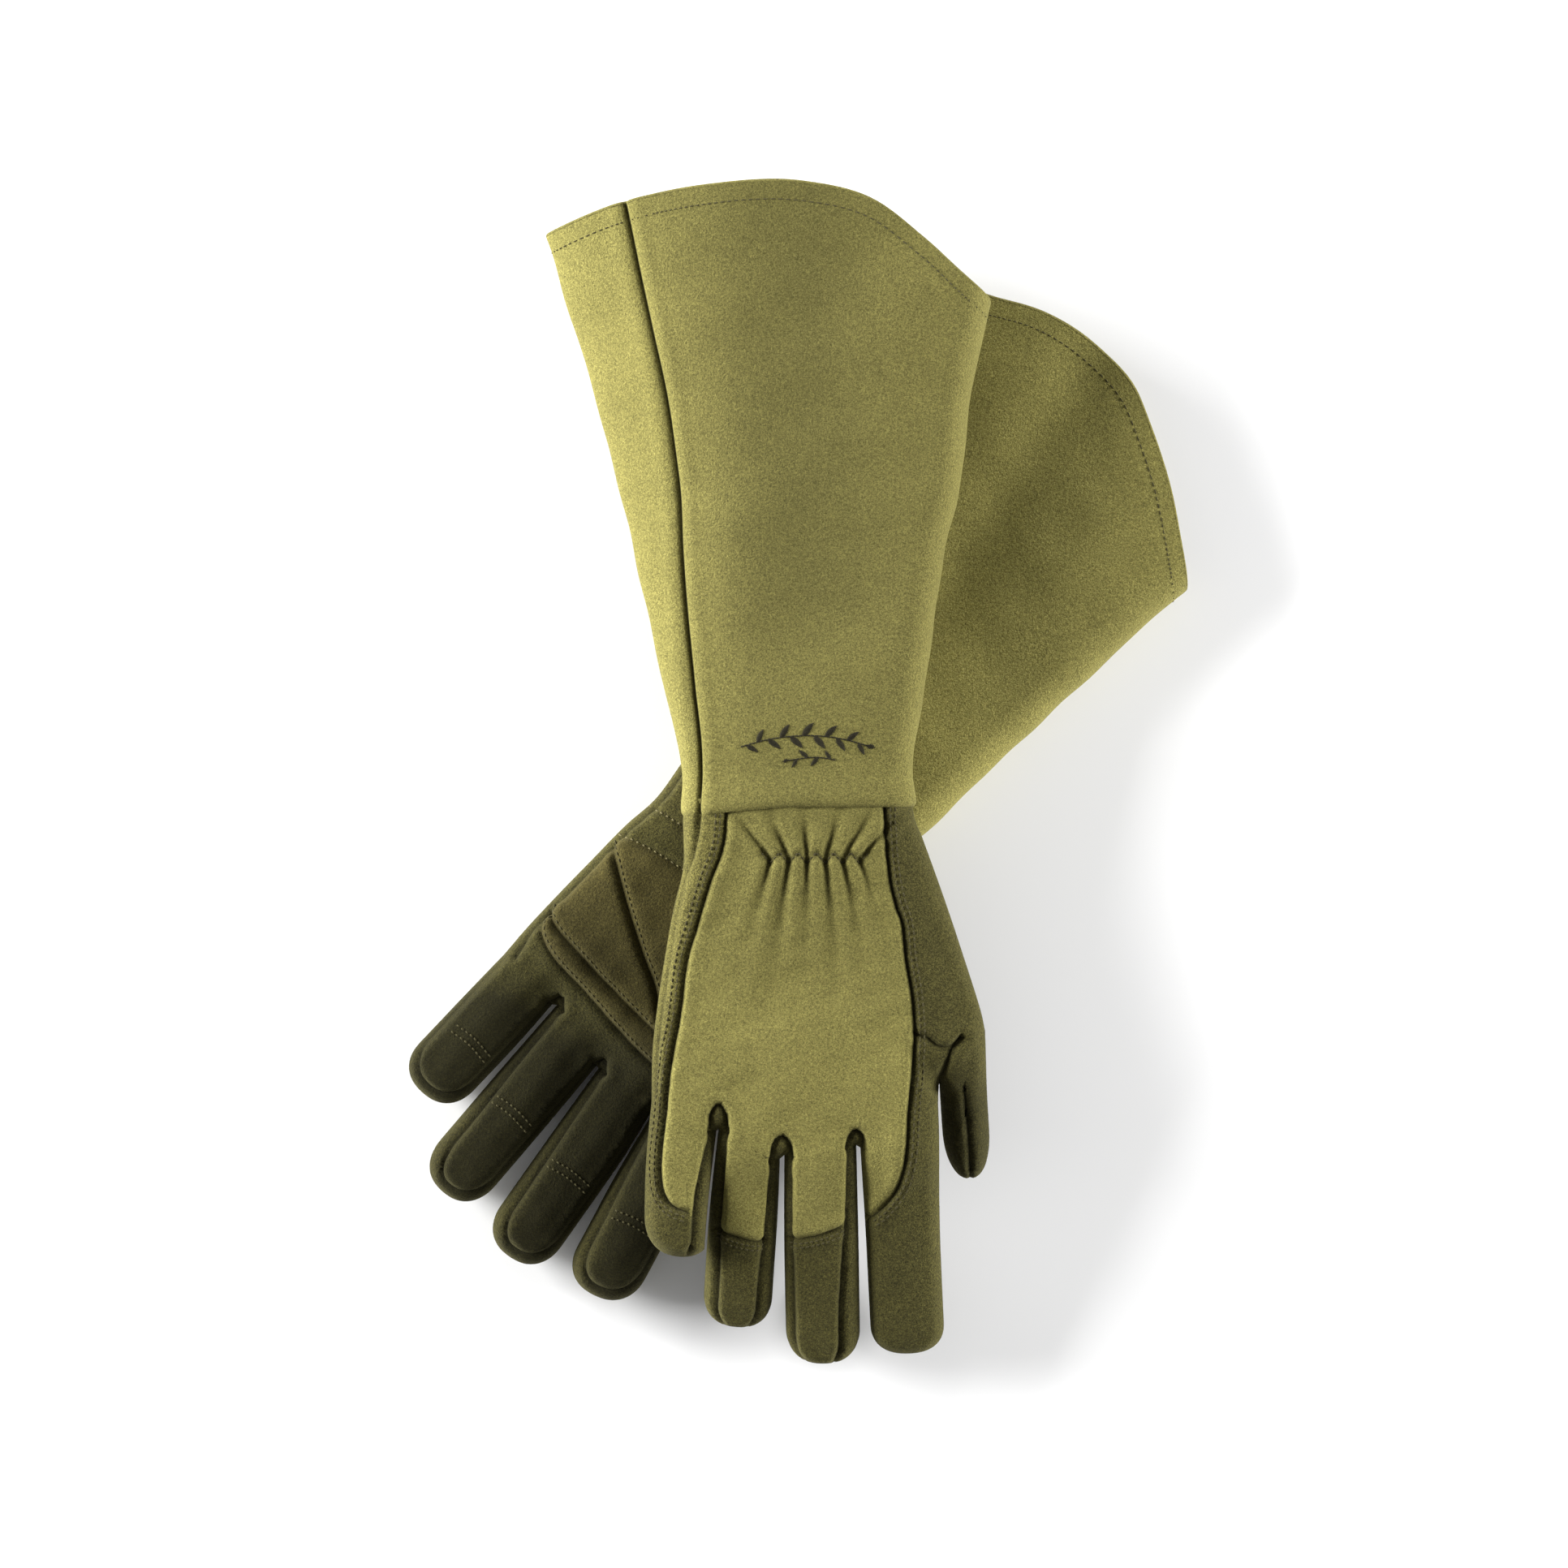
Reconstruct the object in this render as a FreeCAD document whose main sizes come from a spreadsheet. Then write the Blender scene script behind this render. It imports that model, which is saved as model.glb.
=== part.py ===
import FreeCAD, Part
import math
import os

import Sketcher
from FreeCAD import Placement, Rotation, Vector

# A pair of gauntlet gardening gloves, lying one across the other on a flat surface.
# The left glove lies underneath with its palm up. The right glove lies on it with its back up.
# Each glove is a hand box of cut panels, five finger stalls and a flared gauntlet cuff.
# Row frame: millimetres, +Z up, +Y towards the right glove's cuff, origin on the surface
# under the middle of the pair.
#
# Glove frame, the same for both gloves: origin at the middle of the wrist seam, -Y towards the
# fingertips, +X towards the thumb. Depth runs from 0 at the back of the hand to the palm pads.

SIDES = ("left", "right")
FINGERS = ("little", "ring", "middle", "index", "thumb")
CAPPED_FINGERS = ("little", "ring", "middle")
EXTRUDE_MARGIN = 60.0
ARC_SIDE_MARGIN = 60.0

# Shared driving dimensions, in mm and degrees.
SHARED = {
    "skin": 1.4,
    "hand_depth": 23.0,
    "pad_depth": 2.0,
    "knuckle_gap": 0.6,
    "stack_gap": 0.5,
    "wrist_half": 44.0,
    "wrist_semi": 11.5,
    "cuff_mid_y": 110.0,
    "cuff_mid_x": -3.0,
    "cuff_mid_half": 61.5,
    "cuff_mid_semi": 14.0,
    "cuff_end_y": 250.0,
    "cuff_end_x": -10.8,
    "cuff_end_half": 92.4,
    "cuff_end_semi": 17.0,
    "mouth_little_x": -93.6,
    "mouth_little_y": 216.4,
    "mouth_top_x": -11.5,
    "mouth_top_y": 239.6,
    "mouth_thumb_x": 72.2,
    "side_seam_wrist_x": -29.0,
    "side_seam_bend_x": -40.0,
    "side_seam_bend_y": 40.0,
    "side_seam_end_x": -67.0,
    "hem_width": 8.0,
    "hem_skin": 1.2,
    "elastic_half": 28.0,
    "elastic_near": 17.0,
    "elastic_far": 24.0,
    "elastic_skin": 1.0,
}

# Each finger stall: x and y of the middle of its base, turn towards the thumb, half width,
# length from base to tip, length of the pale back panel on it, and droop from the hand's plane.
STALLS = {
    "right": {
        "little": {"x": -43.6, "y": -112.8, "yaw": -4.0, "half": 12.2, "len": 57.5, "cap": 41.0, "droop": 0.0},
        "ring": {"x": -18.4, "y": -120.9, "yaw": -4.6, "half": 11.8, "len": 77.0, "cap": 39.0, "droop": 16.0},
        "middle": {"x": 8.3, "y": -124.6, "yaw": 0.0, "half": 13.6, "len": 86.0, "cap": 38.0, "droop": 15.0},
        "index": {"x": 37.9, "y": -123.0, "yaw": 3.6, "half": 14.4, "len": 83.0, "cap": 0.0, "droop": 15.0},
        "thumb": {"x": 62.0, "y": -85.0, "yaw": 3.0, "half": 9.0, "len": 54.0, "cap": 0.0, "droop": 18.0},
    },
    "left": {
        "little": {"x": -41.2, "y": -107.4, "yaw": -5.0, "half": 12.6, "len": 57.5, "cap": 41.0, "droop": 0.0},
        "ring": {"x": -13.0, "y": -110.5, "yaw": -3.2, "half": 12.8, "len": 80.0, "cap": 42.0, "droop": 0.0},
        "middle": {"x": 14.8, "y": -113.6, "yaw": 2.4, "half": 12.8, "len": 81.0, "cap": 41.0, "droop": 0.0},
        "index": {"x": 40.6, "y": -117.0, "yaw": 11.0, "half": 11.6, "len": 71.0, "cap": 0.0, "droop": 0.0},
        "thumb": {"x": 46.4, "y": -51.6, "yaw": 54.0, "half": 10.0, "len": 50.0, "cap": 0.0, "droop": 0.0},
    },
}

# Where each glove's wrist seam is in the row frame, how far the glove is turned about +Z, how long
# its gauntlet lies as a share of its cut length, and where its mouth ends on the thumb side.
GLOVES = {
    "right": {"wrist_x": -2.06, "wrist_y": -13.2, "turn": 0.0, "cuff_share": 1.0, "mouth_thumb_y": 194.0},
    "left": {"wrist_x": -8.86, "wrist_y": -17.6, "turn": -36.87, "cuff_share": 0.9, "mouth_thumb_y": 185.0},
}

# The hand's two free edges between the wrist, the thumb and the fingers, as (x, y).
OUTER_EDGE = ((-44.6, -13.0), (-48.5, -35.0), (-53.0, -63.0), (-55.2, -87.0))
THUMB_EDGE = {
    "right": ((47.4, -13.0), (55.0, -36.0), (63.0, -58.0)),
    "left": ((46.5, -13.0), (50.5, -30.0)),
}
INDEX_EDGE = {
    "right": ((52.0, -100.0),),
    "left": ((45.5, -84.0),),
}

# Palm pads, as corners in the glove frame: two heel pads either side of a slanting seam, and a
# narrow pad across the knuckles.
PADS = {
    "outer_heel_pad": ((-46.0, -48.0), (-49.0, -80.0), (-28.0, -86.5), (10.0, -93.0), (-1.0, -80.5), (-32.0, -58.5)),
    "inner_heel_pad": ((-44.0, -44.0), (-31.0, -57.0), (0.0, -79.0), (12.0, -92.5), (34.0, -92.0), (38.0, -44.0)),
    "knuckle_pad": ((-50.0, -83.0), (-47.0, -91.0), (-33.0, -96.5), (34.0, -105.0), (34.0, -97.0), (-28.0, -88.5)),
}

doc = FreeCAD.newDocument("gardening_gloves")
sheet = doc.addObject("Spreadsheet::Sheet", "dims")
sheet_row = 0


def put(alias, value):
    """One driving dimension: its name in column A, its plain number in column B."""
    global sheet_row
    sheet_row += 1
    sheet.set(f"A{sheet_row}", alias)
    sheet.set(f"B{sheet_row}", str(value))
    sheet.setAlias(f"B{sheet_row}", alias)


def put_points(alias, points):
    for place, (x, y) in enumerate(points):
        put(f"{alias}_{place}_x", x)
        put(f"{alias}_{place}_y", y)


for shared_name, shared_value in SHARED.items():
    put(shared_name, shared_value)
put_points("outer_edge", OUTER_EDGE)
for pad_name, pad_corners in PADS.items():
    put_points(pad_name, pad_corners)
for glove_side in SIDES:
    for glove_name, glove_value in GLOVES[glove_side].items():
        put(f"{glove_side}_{glove_name}", glove_value)
    for stall_name in FINGERS:
        for size_name, size_value in STALLS[glove_side][stall_name].items():
            put(f"{glove_side}_{stall_name}_{size_name}", size_value)
    put_points(f"{glove_side}_thumb_edge", THUMB_EDGE[glove_side])
    put_points(f"{glove_side}_index_edge", INDEX_EDGE[glove_side])
doc.recompute()


def number(expression):
    """The value of an expression over the sheet, as a plain float."""
    return float(sheet.evalExpression(expression))


def dim(alias):
    return f"dims.{alias}"


# ---------------------------------------------------------------- placements

TOTAL_DEPTH = "(dims.hand_depth + dims.pad_depth)"


def glove_placement(side):
    """The glove frame in the row frame. The right glove rests on top of the left one."""
    height = number(f"{TOTAL_DEPTH} + dims.stack_gap") if side == "right" else 0.0
    place = Vector(number(dim(f"{side}_wrist_x")), number(dim(f"{side}_wrist_y")), height)
    return Placement(place, Rotation(Vector(0, 0, 1), number(dim(f"{side}_turn"))))


def level(side, depth_from, depth_to):
    """The lower Z in the glove frame of a layer between two depths measured from the back of the hand."""
    if side == "left":
        return number(depth_from)
    return number(f"{TOTAL_DEPTH} - ({depth_to})")


def palm_level(side):
    """The Z in the glove frame of the palm's outer face, which the finger stalls bend about."""
    return level(side, "dims.hand_depth", "dims.hand_depth")


def stall_placement(side, finger):
    """The frame of a finger stall: origin at its base on the palm's face, -Y towards its tip."""
    stem = f"{side}_{finger}"
    base = Vector(number(dim(f"{stem}_x")), number(dim(f"{stem}_y")), palm_level(side))
    turn = Rotation(Vector(0, 0, 1), number(dim(f"{stem}_yaw")))
    droop = Rotation(Vector(1, 0, 0), number(dim(f"{stem}_droop")))
    return glove_placement(side) * Placement(base, turn * droop)


# ---------------------------------------------------------------- sketches

parts = []


def finished(piece, label, placement=None):
    """Names a sub-part, puts it in place and adds it to the list to be written."""
    piece.Label = label
    if placement is not None:
        piece.Placement = placement
    parts.append(piece)
    return piece


def new_body(label):
    body = doc.addObject("PartDesign::Body", label)
    plane = next(f for f in body.Origin.OriginFeatures if f.Role == "XY_Plane")
    sketch = body.newObject("Sketcher::SketchObject", f"{label}_outline")
    sketch.AttachmentSupport = (plane, [""])
    sketch.MapMode = "FlatFace"
    return body, sketch


def pad(body, sketch, length):
    feature = body.newObject("PartDesign::Pad", f"{body.Name}_pad")
    feature.Profile = sketch
    feature.setExpression("Length", length)
    return body


def draw_polygon(sketch, corners):
    """A closed polygon. Each corner is a pair of expressions that drive its x and y."""
    points = [Vector(number(x), number(y), 0) for x, y in corners]
    count = len(points)
    for first in range(count):
        sketch.addGeometry(Part.LineSegment(points[first], points[(first + 1) % count]))
    for first in range(count):
        sketch.addConstraint(Sketcher.Constraint("Coincident", first, 2, (first + 1) % count, 1))
    for first, (x, y) in enumerate(corners):
        for kind, value, expression in (("DistanceX", points[first].x, x), ("DistanceY", points[first].y, y)):
            place = sketch.addConstraint(Sketcher.Constraint(kind, -1, 1, first, 1, value))
            sketch.renameConstraint(place, f"{kind}_{first}")
            sketch.setExpression(f"Constraints.{kind}_{first}", expression)


def plate(label, side, corners, depth_from, depth_to, placement=None):
    """A flat panel cut to a polygon, between two depths."""
    body, sketch = new_body(label)
    draw_polygon(sketch, corners)
    pad(body, sketch, f"({depth_to}) - ({depth_from})")
    place = placement or glove_placement(side)
    lift = Placement(Vector(0, 0, level(side, depth_from, depth_to)), Rotation())
    return finished(body, label, place * lift)


def draw_tongue(sketch, half, near, far):
    """A round-ended strip from y = -near to y = -far, half wide each side. Sizes are expressions."""
    radius = number(half)
    start = -number(near)
    centre = -number(far) + radius
    arc = Part.ArcOfCircle(
        Part.Circle(Vector(0, centre, 0), Vector(0, 0, 1), radius), math.pi, 2 * math.pi
    )
    first = sketch.GeometryCount
    sketch.addGeometry(Part.LineSegment(Vector(-radius, start, 0), Vector(-radius, centre, 0)))
    sketch.addGeometry(arc)
    sketch.addGeometry(Part.LineSegment(Vector(radius, centre, 0), Vector(radius, start, 0)))
    sketch.addGeometry(Part.LineSegment(Vector(radius, start, 0), Vector(-radius, start, 0)))
    little_line, tip_arc, thumb_line, base_line = range(first, first + 4)
    for constraint in (
        Sketcher.Constraint("Tangent", little_line, 2, tip_arc, 1),
        Sketcher.Constraint("Tangent", tip_arc, 2, thumb_line, 1),
        Sketcher.Constraint("Coincident", thumb_line, 2, base_line, 1),
        Sketcher.Constraint("Coincident", base_line, 2, little_line, 1),
        Sketcher.Constraint("Vertical", little_line),
        Sketcher.Constraint("Horizontal", base_line),
        Sketcher.Constraint("PointOnObject", tip_arc, 3, -2),
    ):
        sketch.addConstraint(constraint)
    for name, constraint, expression in (
        ("radius", Sketcher.Constraint("Radius", tip_arc, radius), half),
        ("centre", Sketcher.Constraint("DistanceY", -1, 1, tip_arc, 3, centre), f"({half}) - ({far})"),
        ("start", Sketcher.Constraint("DistanceY", -1, 1, little_line, 1, start), f"-({near})"),
    ):
        place = sketch.addConstraint(constraint)
        sketch.renameConstraint(place, f"{name}_{first}")
        sketch.setExpression(f"Constraints.{name}_{first}", expression)


# ---------------------------------------------------------------- finger stalls


def stall_level(side, depth_from, depth_to):
    """The lower Z in a stall's frame, which has its origin on the palm's outer face."""
    return level(side, depth_from, depth_to) - palm_level(side)


def stall_piece(label, side, finger, draw, depth_from, depth_to):
    body, sketch = new_body(label)
    draw(sketch)
    pad(body, sketch, f"({depth_to}) - ({depth_from})")
    lift = Placement(Vector(0, 0, stall_level(side, depth_from, depth_to)), Rotation())
    return finished(body, label, stall_placement(side, finger) * lift)


def stall_corners(half, near, far):
    """A plain rectangle across a stall, from near to far."""
    return ((f"-({half})", f"-({near})"), (f"-({half})", f"-({far})"), (half, f"-({far})"), (half, f"-({near})"))


def finger_stall(side, finger):
    """Back, palm and side wall of one stall, with a separate tip cap where the back is pale."""
    stem = f"{side}_{finger}"
    half, length = dim(f"{stem}_half"), dim(f"{stem}_len")
    near = "dims.knuckle_gap"
    # a drooped stall's back reaches rearwards, to close the wedge that the droop opens over the knuckle
    slope = f"dims.{stem}_droop"
    back_near = f"dims.knuckle_gap / cos({slope}) - (dims.hand_depth - dims.skin) * tan({slope})"
    outer_skin = ("0", "dims.skin")
    inner_skin = ("dims.hand_depth - dims.skin", "dims.hand_depth")
    if finger in CAPPED_FINGERS:
        cap = dim(f"{stem}_cap")
        stall_piece(
            f"{stem}_back", side, finger,
            lambda s: draw_polygon(s, stall_corners(half, back_near, cap)), *outer_skin,
        )
        stall_piece(
            f"{stem}_tip_cap", side, finger, lambda s: draw_tongue(s, half, cap, length), *outer_skin
        )
    else:
        stall_piece(
            f"{stem}_back", side, finger, lambda s: draw_tongue(s, half, back_near, length), *outer_skin
        )
    stall_piece(
        f"{stem}_palm", side, finger, lambda s: draw_tongue(s, half, near, length), *inner_skin
    )
    forchette(f"{stem}_forchette", side, finger, half, near, length)


def forchette(label, side, finger, half, near, length):
    """The strip sewn between a stall's back and palm: down one side, round the tip and up the other."""
    depths = ("dims.skin", "dims.hand_depth - dims.skin")
    body, sketch = new_body(label)
    draw_tongue(sketch, half, near, length)
    pad(body, sketch, f"({depths[1]}) - ({depths[0]})")
    plane = next(f for f in body.Origin.OriginFeatures if f.Role == "XY_Plane")
    core = body.newObject("Sketcher::SketchObject", f"{label}_core")
    core.AttachmentSupport = (plane, [""])
    core.MapMode = "FlatFace"
    draw_tongue(core, f"{half} - dims.skin", f"{near} - dims.skin", f"{length} - dims.skin")
    doc.recompute()
    full = body.Shape.Volume
    pocket = body.newObject("PartDesign::Pocket", f"{label}_hollow")
    pocket.Profile = core
    pocket.Type = "ThroughAll"
    pocket.Midplane = True
    doc.recompute()
    if not body.Shape.Volume < 0.5 * full:
        raise RuntimeError(f"{label}: the hollow was not cut")
    lift = Placement(Vector(0, 0, stall_level(side, *depths)), Rotation())
    return finished(body, label, stall_placement(side, finger) * lift)


# ---------------------------------------------------------------- hand


def base_end(side, finger, sign):
    """One end of a stall's base line in the glove frame; sign is -1 or 1, towards the thumb."""
    stem = f"dims.{side}_{finger}"
    return (
        f"{stem}_x + ({sign}) * {stem}_half * cos({stem}_yaw)",
        f"{stem}_y + ({sign}) * {stem}_half * sin({stem}_yaw)",
    )


def listed(alias, points):
    return [(f"dims.{alias}_{n}_x", f"dims.{alias}_{n}_y") for n in range(len(points))]


def hand_outline(side):
    """The hand panels' outline: wrist, outer edge, the five stalls' base lines and the thumb edge."""
    corners = [("-dims.wrist_half", "0")] + listed("outer_edge", OUTER_EDGE)
    for finger in ("little", "ring", "middle", "index"):
        corners += [base_end(side, finger, -1), base_end(side, finger, 1)]
    corners += reversed(listed(f"{side}_index_edge", INDEX_EDGE[side]))
    corners += [base_end(side, "thumb", -1), base_end(side, "thumb", 1)]
    corners += reversed(listed(f"{side}_thumb_edge", THUMB_EDGE[side]))
    return corners + [("dims.wrist_half", "0")]


def edge_strip(points, inward):
    """A strip one skin wide along an edge. inward is the sign of x towards the hand's middle."""
    inner = [(f"{x} + ({inward}) * dims.skin", y) for x, y in reversed(points)]
    return list(points) + inner


def hand(side):
    outline = hand_outline(side)
    plate(f"{side}_back_panel", side, outline, "0", "dims.skin")
    plate(f"{side}_palm_panel", side, outline, "dims.hand_depth - dims.skin", "dims.hand_depth")
    depths = ("dims.skin", "dims.hand_depth - dims.skin")
    outer = [("-dims.wrist_half", "0")] + listed("outer_edge", OUTER_EDGE) + [base_end(side, "little", -1)]
    plate(f"{side}_side_strip", side, edge_strip(outer, 1), *depths)
    thumb_edge = [("dims.wrist_half", "0")] + listed(f"{side}_thumb_edge", THUMB_EDGE[side])
    thumb_edge.append(base_end(side, "thumb", 1))
    plate(f"{side}_thumb_gusset", side, edge_strip(thumb_edge, -1), *depths)
    index_edge = [base_end(side, "thumb", -1)] + listed(f"{side}_index_edge", INDEX_EDGE[side])
    index_edge.append(base_end(side, "index", 1))
    plate(f"{side}_index_gusset", side, edge_strip(index_edge, -1), *depths)
    elastic = [
        ("-dims.elastic_half", "-dims.elastic_near"),
        ("-dims.elastic_half", "-dims.elastic_far"),
        ("dims.elastic_half", "-dims.elastic_far"),
        ("dims.elastic_half", "-dims.elastic_near"),
    ]
    plate(f"{side}_wrist_elastic", side, elastic, "dims.skin", "dims.skin + dims.elastic_skin")


def palm_pads(side):
    for name, points in PADS.items():
        plate(f"{side}_{name}", side, listed(name, points), "dims.hand_depth", TOTAL_DEPTH)


# ---------------------------------------------------------------- gauntlet


def cuff_y(side, y):
    """A distance along the gauntlet, as it lies."""
    return f"({y}) * dims.{side}_cuff_share"


def cuff_section(side, name, x, y, half, semi, inset):
    """A flattened-oval section across the gauntlet. Its lowest point is on the cuff's resting line."""
    oval = doc.addObject("Part::Ellipse", f"{side}_{name}")
    oval.setExpression("MajorRadius", f"({half}) - ({inset})")
    oval.setExpression("MinorRadius", f"({semi}) - ({inset})")
    oval.Placement = Placement(
        Vector(number(x), number(cuff_y(side, y)), number(semi)), Rotation(Vector(1, 0, 0), 90)
    )
    return oval


def cuff_cone(side, name, inset):
    """The flared cone of the gauntlet, taken in by inset all round."""
    sections = [
        cuff_section(side, f"{name}_wrist", "0", "dims.knuckle_gap", "dims.wrist_half", "dims.wrist_semi", inset),
        cuff_section(
            side, f"{name}_middle", "dims.cuff_mid_x", "dims.cuff_mid_y",
            "dims.cuff_mid_half", "dims.cuff_mid_semi", inset,
        ),
        cuff_section(
            side, f"{name}_end", "dims.cuff_end_x", "dims.cuff_end_y",
            "dims.cuff_end_half", "dims.cuff_end_semi", inset,
        ),
    ]
    cone = doc.addObject("Part::Loft", f"{side}_{name}")
    cone.Sections = sections
    cone.Solid = True
    cone.Ruled = True
    return cone


def upright(side, name, wire_edges):
    """A tall prism over a flat outline, used to trim the cone. It goes through the whole cuff."""
    outline = doc.addObject("Part::Feature", f"{side}_{name}_outline")
    outline.Shape = Part.Wire(wire_edges)
    prism = doc.addObject("Part::Extrusion", f"{side}_{name}")
    prism.Base = outline
    prism.DirMode = "Custom"
    prism.Dir = Vector(0, 0, 1)
    prism.LengthFwd = 2 * EXTRUDE_MARGIN
    prism.LengthRev = EXTRUDE_MARGIN
    prism.Solid = True
    return prism


def polyline(points):
    return [Part.LineSegment(a, b).toShape() for a, b in zip(points, points[1:])]


def mouth_point(side, x, y, drop):
    """A point of the mouth's curved edge, moved drop towards the wrist."""
    return Vector(number(x), number(cuff_y(side, y)) - drop, 0)


def mouth_region(side, name, drop):
    """Everything on the wrist's side of the mouth's curved edge, moved drop towards the wrist."""
    little = mouth_point(side, "dims.mouth_little_x", "dims.mouth_little_y", drop)
    top = mouth_point(side, "dims.mouth_top_x", "dims.mouth_top_y", drop)
    thumb = mouth_point(side, "dims.mouth_thumb_x", f"dims.{side}_mouth_thumb_y", drop)
    arc = Part.Arc(little, top, thumb)
    wide = ARC_SIDE_MARGIN
    thumb_slope = Vector(thumb.x + wide, thumb.y - wide, 0)
    little_slope = Vector(little.x - wide, little.y - wide, 0)
    outer = [thumb, thumb_slope, Vector(thumb_slope.x, -wide, 0), Vector(little_slope.x, -wide, 0)]
    return upright(side, name, [arc.toShape()] + polyline(outer + [little_slope, little]))


def boolean(kind, name, **links):
    feature = doc.addObject(kind, name)
    for link, target in links.items():
        setattr(feature, link, target)
    return feature


def side_panel_region(side):
    """The little-finger side of the seam that joins the gauntlet's two panels."""
    wide = 2 * EXTRUDE_MARGIN + ARC_SIDE_MARGIN
    end_y = number(cuff_y(side, "dims.cuff_end_y")) + 1
    seam = [
        Vector(number("dims.side_seam_wrist_x"), -1, 0),
        Vector(number("dims.side_seam_bend_x"), number(cuff_y(side, "dims.side_seam_bend_y")), 0),
        Vector(number("dims.side_seam_end_x"), end_y, 0),
    ]
    loop = seam + [Vector(-wide, end_y, 0), Vector(-wide, -1, 0), seam[0]]
    return upright(side, "side_region", polyline(loop))


def gauntlet(side):
    cut, common = "Part::Cut", "Part::Common"
    cone = cuff_cone(side, "cuff_outside", "0")
    hollow = cuff_cone(side, "cuff_inside", "dims.skin")
    shell = boolean(cut, f"{side}_cuff_shell", Base=cone, Tool=hollow)
    trimmed = boolean(common, f"{side}_cuff_trimmed", Base=shell, Tool=mouth_region(side, "mouth", 0.0))
    region = side_panel_region(side)
    main = boolean(cut, f"{side}_main", Base=trimmed, Tool=region)
    gusset = boolean(common, f"{side}_gusset", Base=trimmed, Tool=region)
    fold_outside = cuff_cone(side, "hem_outside", "dims.skin")
    fold_inside = cuff_cone(side, "hem_inside", "dims.skin + dims.hem_skin")
    fold = boolean(cut, f"{side}_fold", Base=fold_outside, Tool=fold_inside)
    fold_end = boolean(common, f"{side}_fold_end", Base=fold, Tool=mouth_region(side, "fold_mouth", 0.0))
    kept = mouth_region(side, "fold_stop", number("dims.hem_width"))
    hem = boolean(cut, f"{side}_hem", Base=fold_end, Tool=kept)
    place = glove_placement(side) * Placement(Vector(0, 0, cuff_rest(side)), Rotation())
    finished(main, f"{side}_gauntlet_main_panel", place)
    finished(gusset, f"{side}_gauntlet_side_panel", place)
    finished(hem, f"{side}_gauntlet_hem", place)


def cuff_rest(side):
    """The Z in the glove frame of the gauntlet's resting line: the lower of the hand's two skins."""
    return number("dims.pad_depth") if side == "right" else 0.0


for glove_side in SIDES:
    hand(glove_side)
    palm_pads(glove_side)
    for stall_name in FINGERS:
        finger_stall(glove_side, stall_name)
    gauntlet(glove_side)
doc.recompute()

for thing in doc.Objects:
    if "Invalid" in thing.State or "Error" in thing.State:
        raise RuntimeError(f"{thing.Label} failed: {thing.State}")
for piece in parts:
    if piece.Shape.isNull() or not piece.Shape.isValid() or not piece.Shape.Solids:
        raise RuntimeError(f"{piece.Label} has no valid solid")

os.makedirs("parts", exist_ok=True)
for piece in parts:
    piece.Shape.exportStep(os.path.join("parts", f"{piece.Label}.step"))
print(f"{len(parts)} parts written")
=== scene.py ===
import math

import bpy
import numpy as np
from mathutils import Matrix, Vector
from mathutils.bvhtree import BVHTree
from mathutils.geometry import delaunay_2d_cdt


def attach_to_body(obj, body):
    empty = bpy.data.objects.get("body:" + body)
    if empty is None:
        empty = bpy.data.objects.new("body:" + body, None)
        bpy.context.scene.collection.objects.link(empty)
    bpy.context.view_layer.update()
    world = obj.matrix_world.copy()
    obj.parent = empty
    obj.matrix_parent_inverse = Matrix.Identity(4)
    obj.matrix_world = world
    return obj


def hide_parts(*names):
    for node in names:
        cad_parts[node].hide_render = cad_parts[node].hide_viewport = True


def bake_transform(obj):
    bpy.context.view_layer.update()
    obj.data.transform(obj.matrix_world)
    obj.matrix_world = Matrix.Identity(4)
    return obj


# A pair of suede gauntlet gloves. Each hand is two cut sheets, back and palm, over one outline: the
# sheets are puffed up, creased along their seams, cut apart into panels and given thickness. The
# glove frame is the CAD's: millimetres, origin at the middle of the wrist seam, -Y towards the
# fingertips, +X towards the thumb. Metres are used only where a mesh is made.

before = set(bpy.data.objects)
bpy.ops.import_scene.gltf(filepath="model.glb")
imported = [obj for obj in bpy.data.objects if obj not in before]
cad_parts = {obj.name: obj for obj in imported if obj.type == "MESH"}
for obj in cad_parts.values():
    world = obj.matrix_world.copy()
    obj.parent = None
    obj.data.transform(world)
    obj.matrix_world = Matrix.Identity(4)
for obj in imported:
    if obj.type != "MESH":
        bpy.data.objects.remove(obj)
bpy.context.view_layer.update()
MM = 0.001

# ---------------------------------------------------------------- sizes, in mm and degrees

HAND_DEPTH = 23.0
PAD_DEPTH = 2.0
STACK_GAP = 0.5
STACK_LIFT = HAND_DEPTH + PAD_DEPTH + STACK_GAP
REST_CLEAR = 0.1
WRIST_HALF = 43.2
CLOTH = 1.2
EDGE_STEP = 1.5
SHEET_STEP = 2.3
FINE_STEP = 1.15
EDGE_ROWS = (0.3, 0.9, 1.8, 3.0, 4.5)
SEAM_ROWS = (0.35, 0.8, 1.5, 2.6)
SIDE_ROUND = 11.0
SIDE_RISE = 8.3
CROWN_RISE = 3.2
CROWN_REACH = 40.0
STITCH_PITCH = 2.5
STITCH_LENGTH = 1.75
# How far rows of stitching lie beside the seams of the back and of the tips' caps.
BACK_STITCHES = (2.0, 3.7)
CAP_STITCHES = (-1.8, -3.4)
PATCH_ROW_GAP = 3.2
THREAD_RADIUS = 0.3
THREAD_SIDES = 6
# Along a stitch: (share of its length, rise and width there, as shares of the thread's radius).
THREAD_STATIONS = ((0.0, -0.55, 0.55), (0.2, 0.25, 1.0), (0.5, 0.5, 1.05), (0.8, 0.25, 1.0),
                   (1.0, -0.55, 0.55))
SHORTEST_STITCH = 0.2

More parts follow.
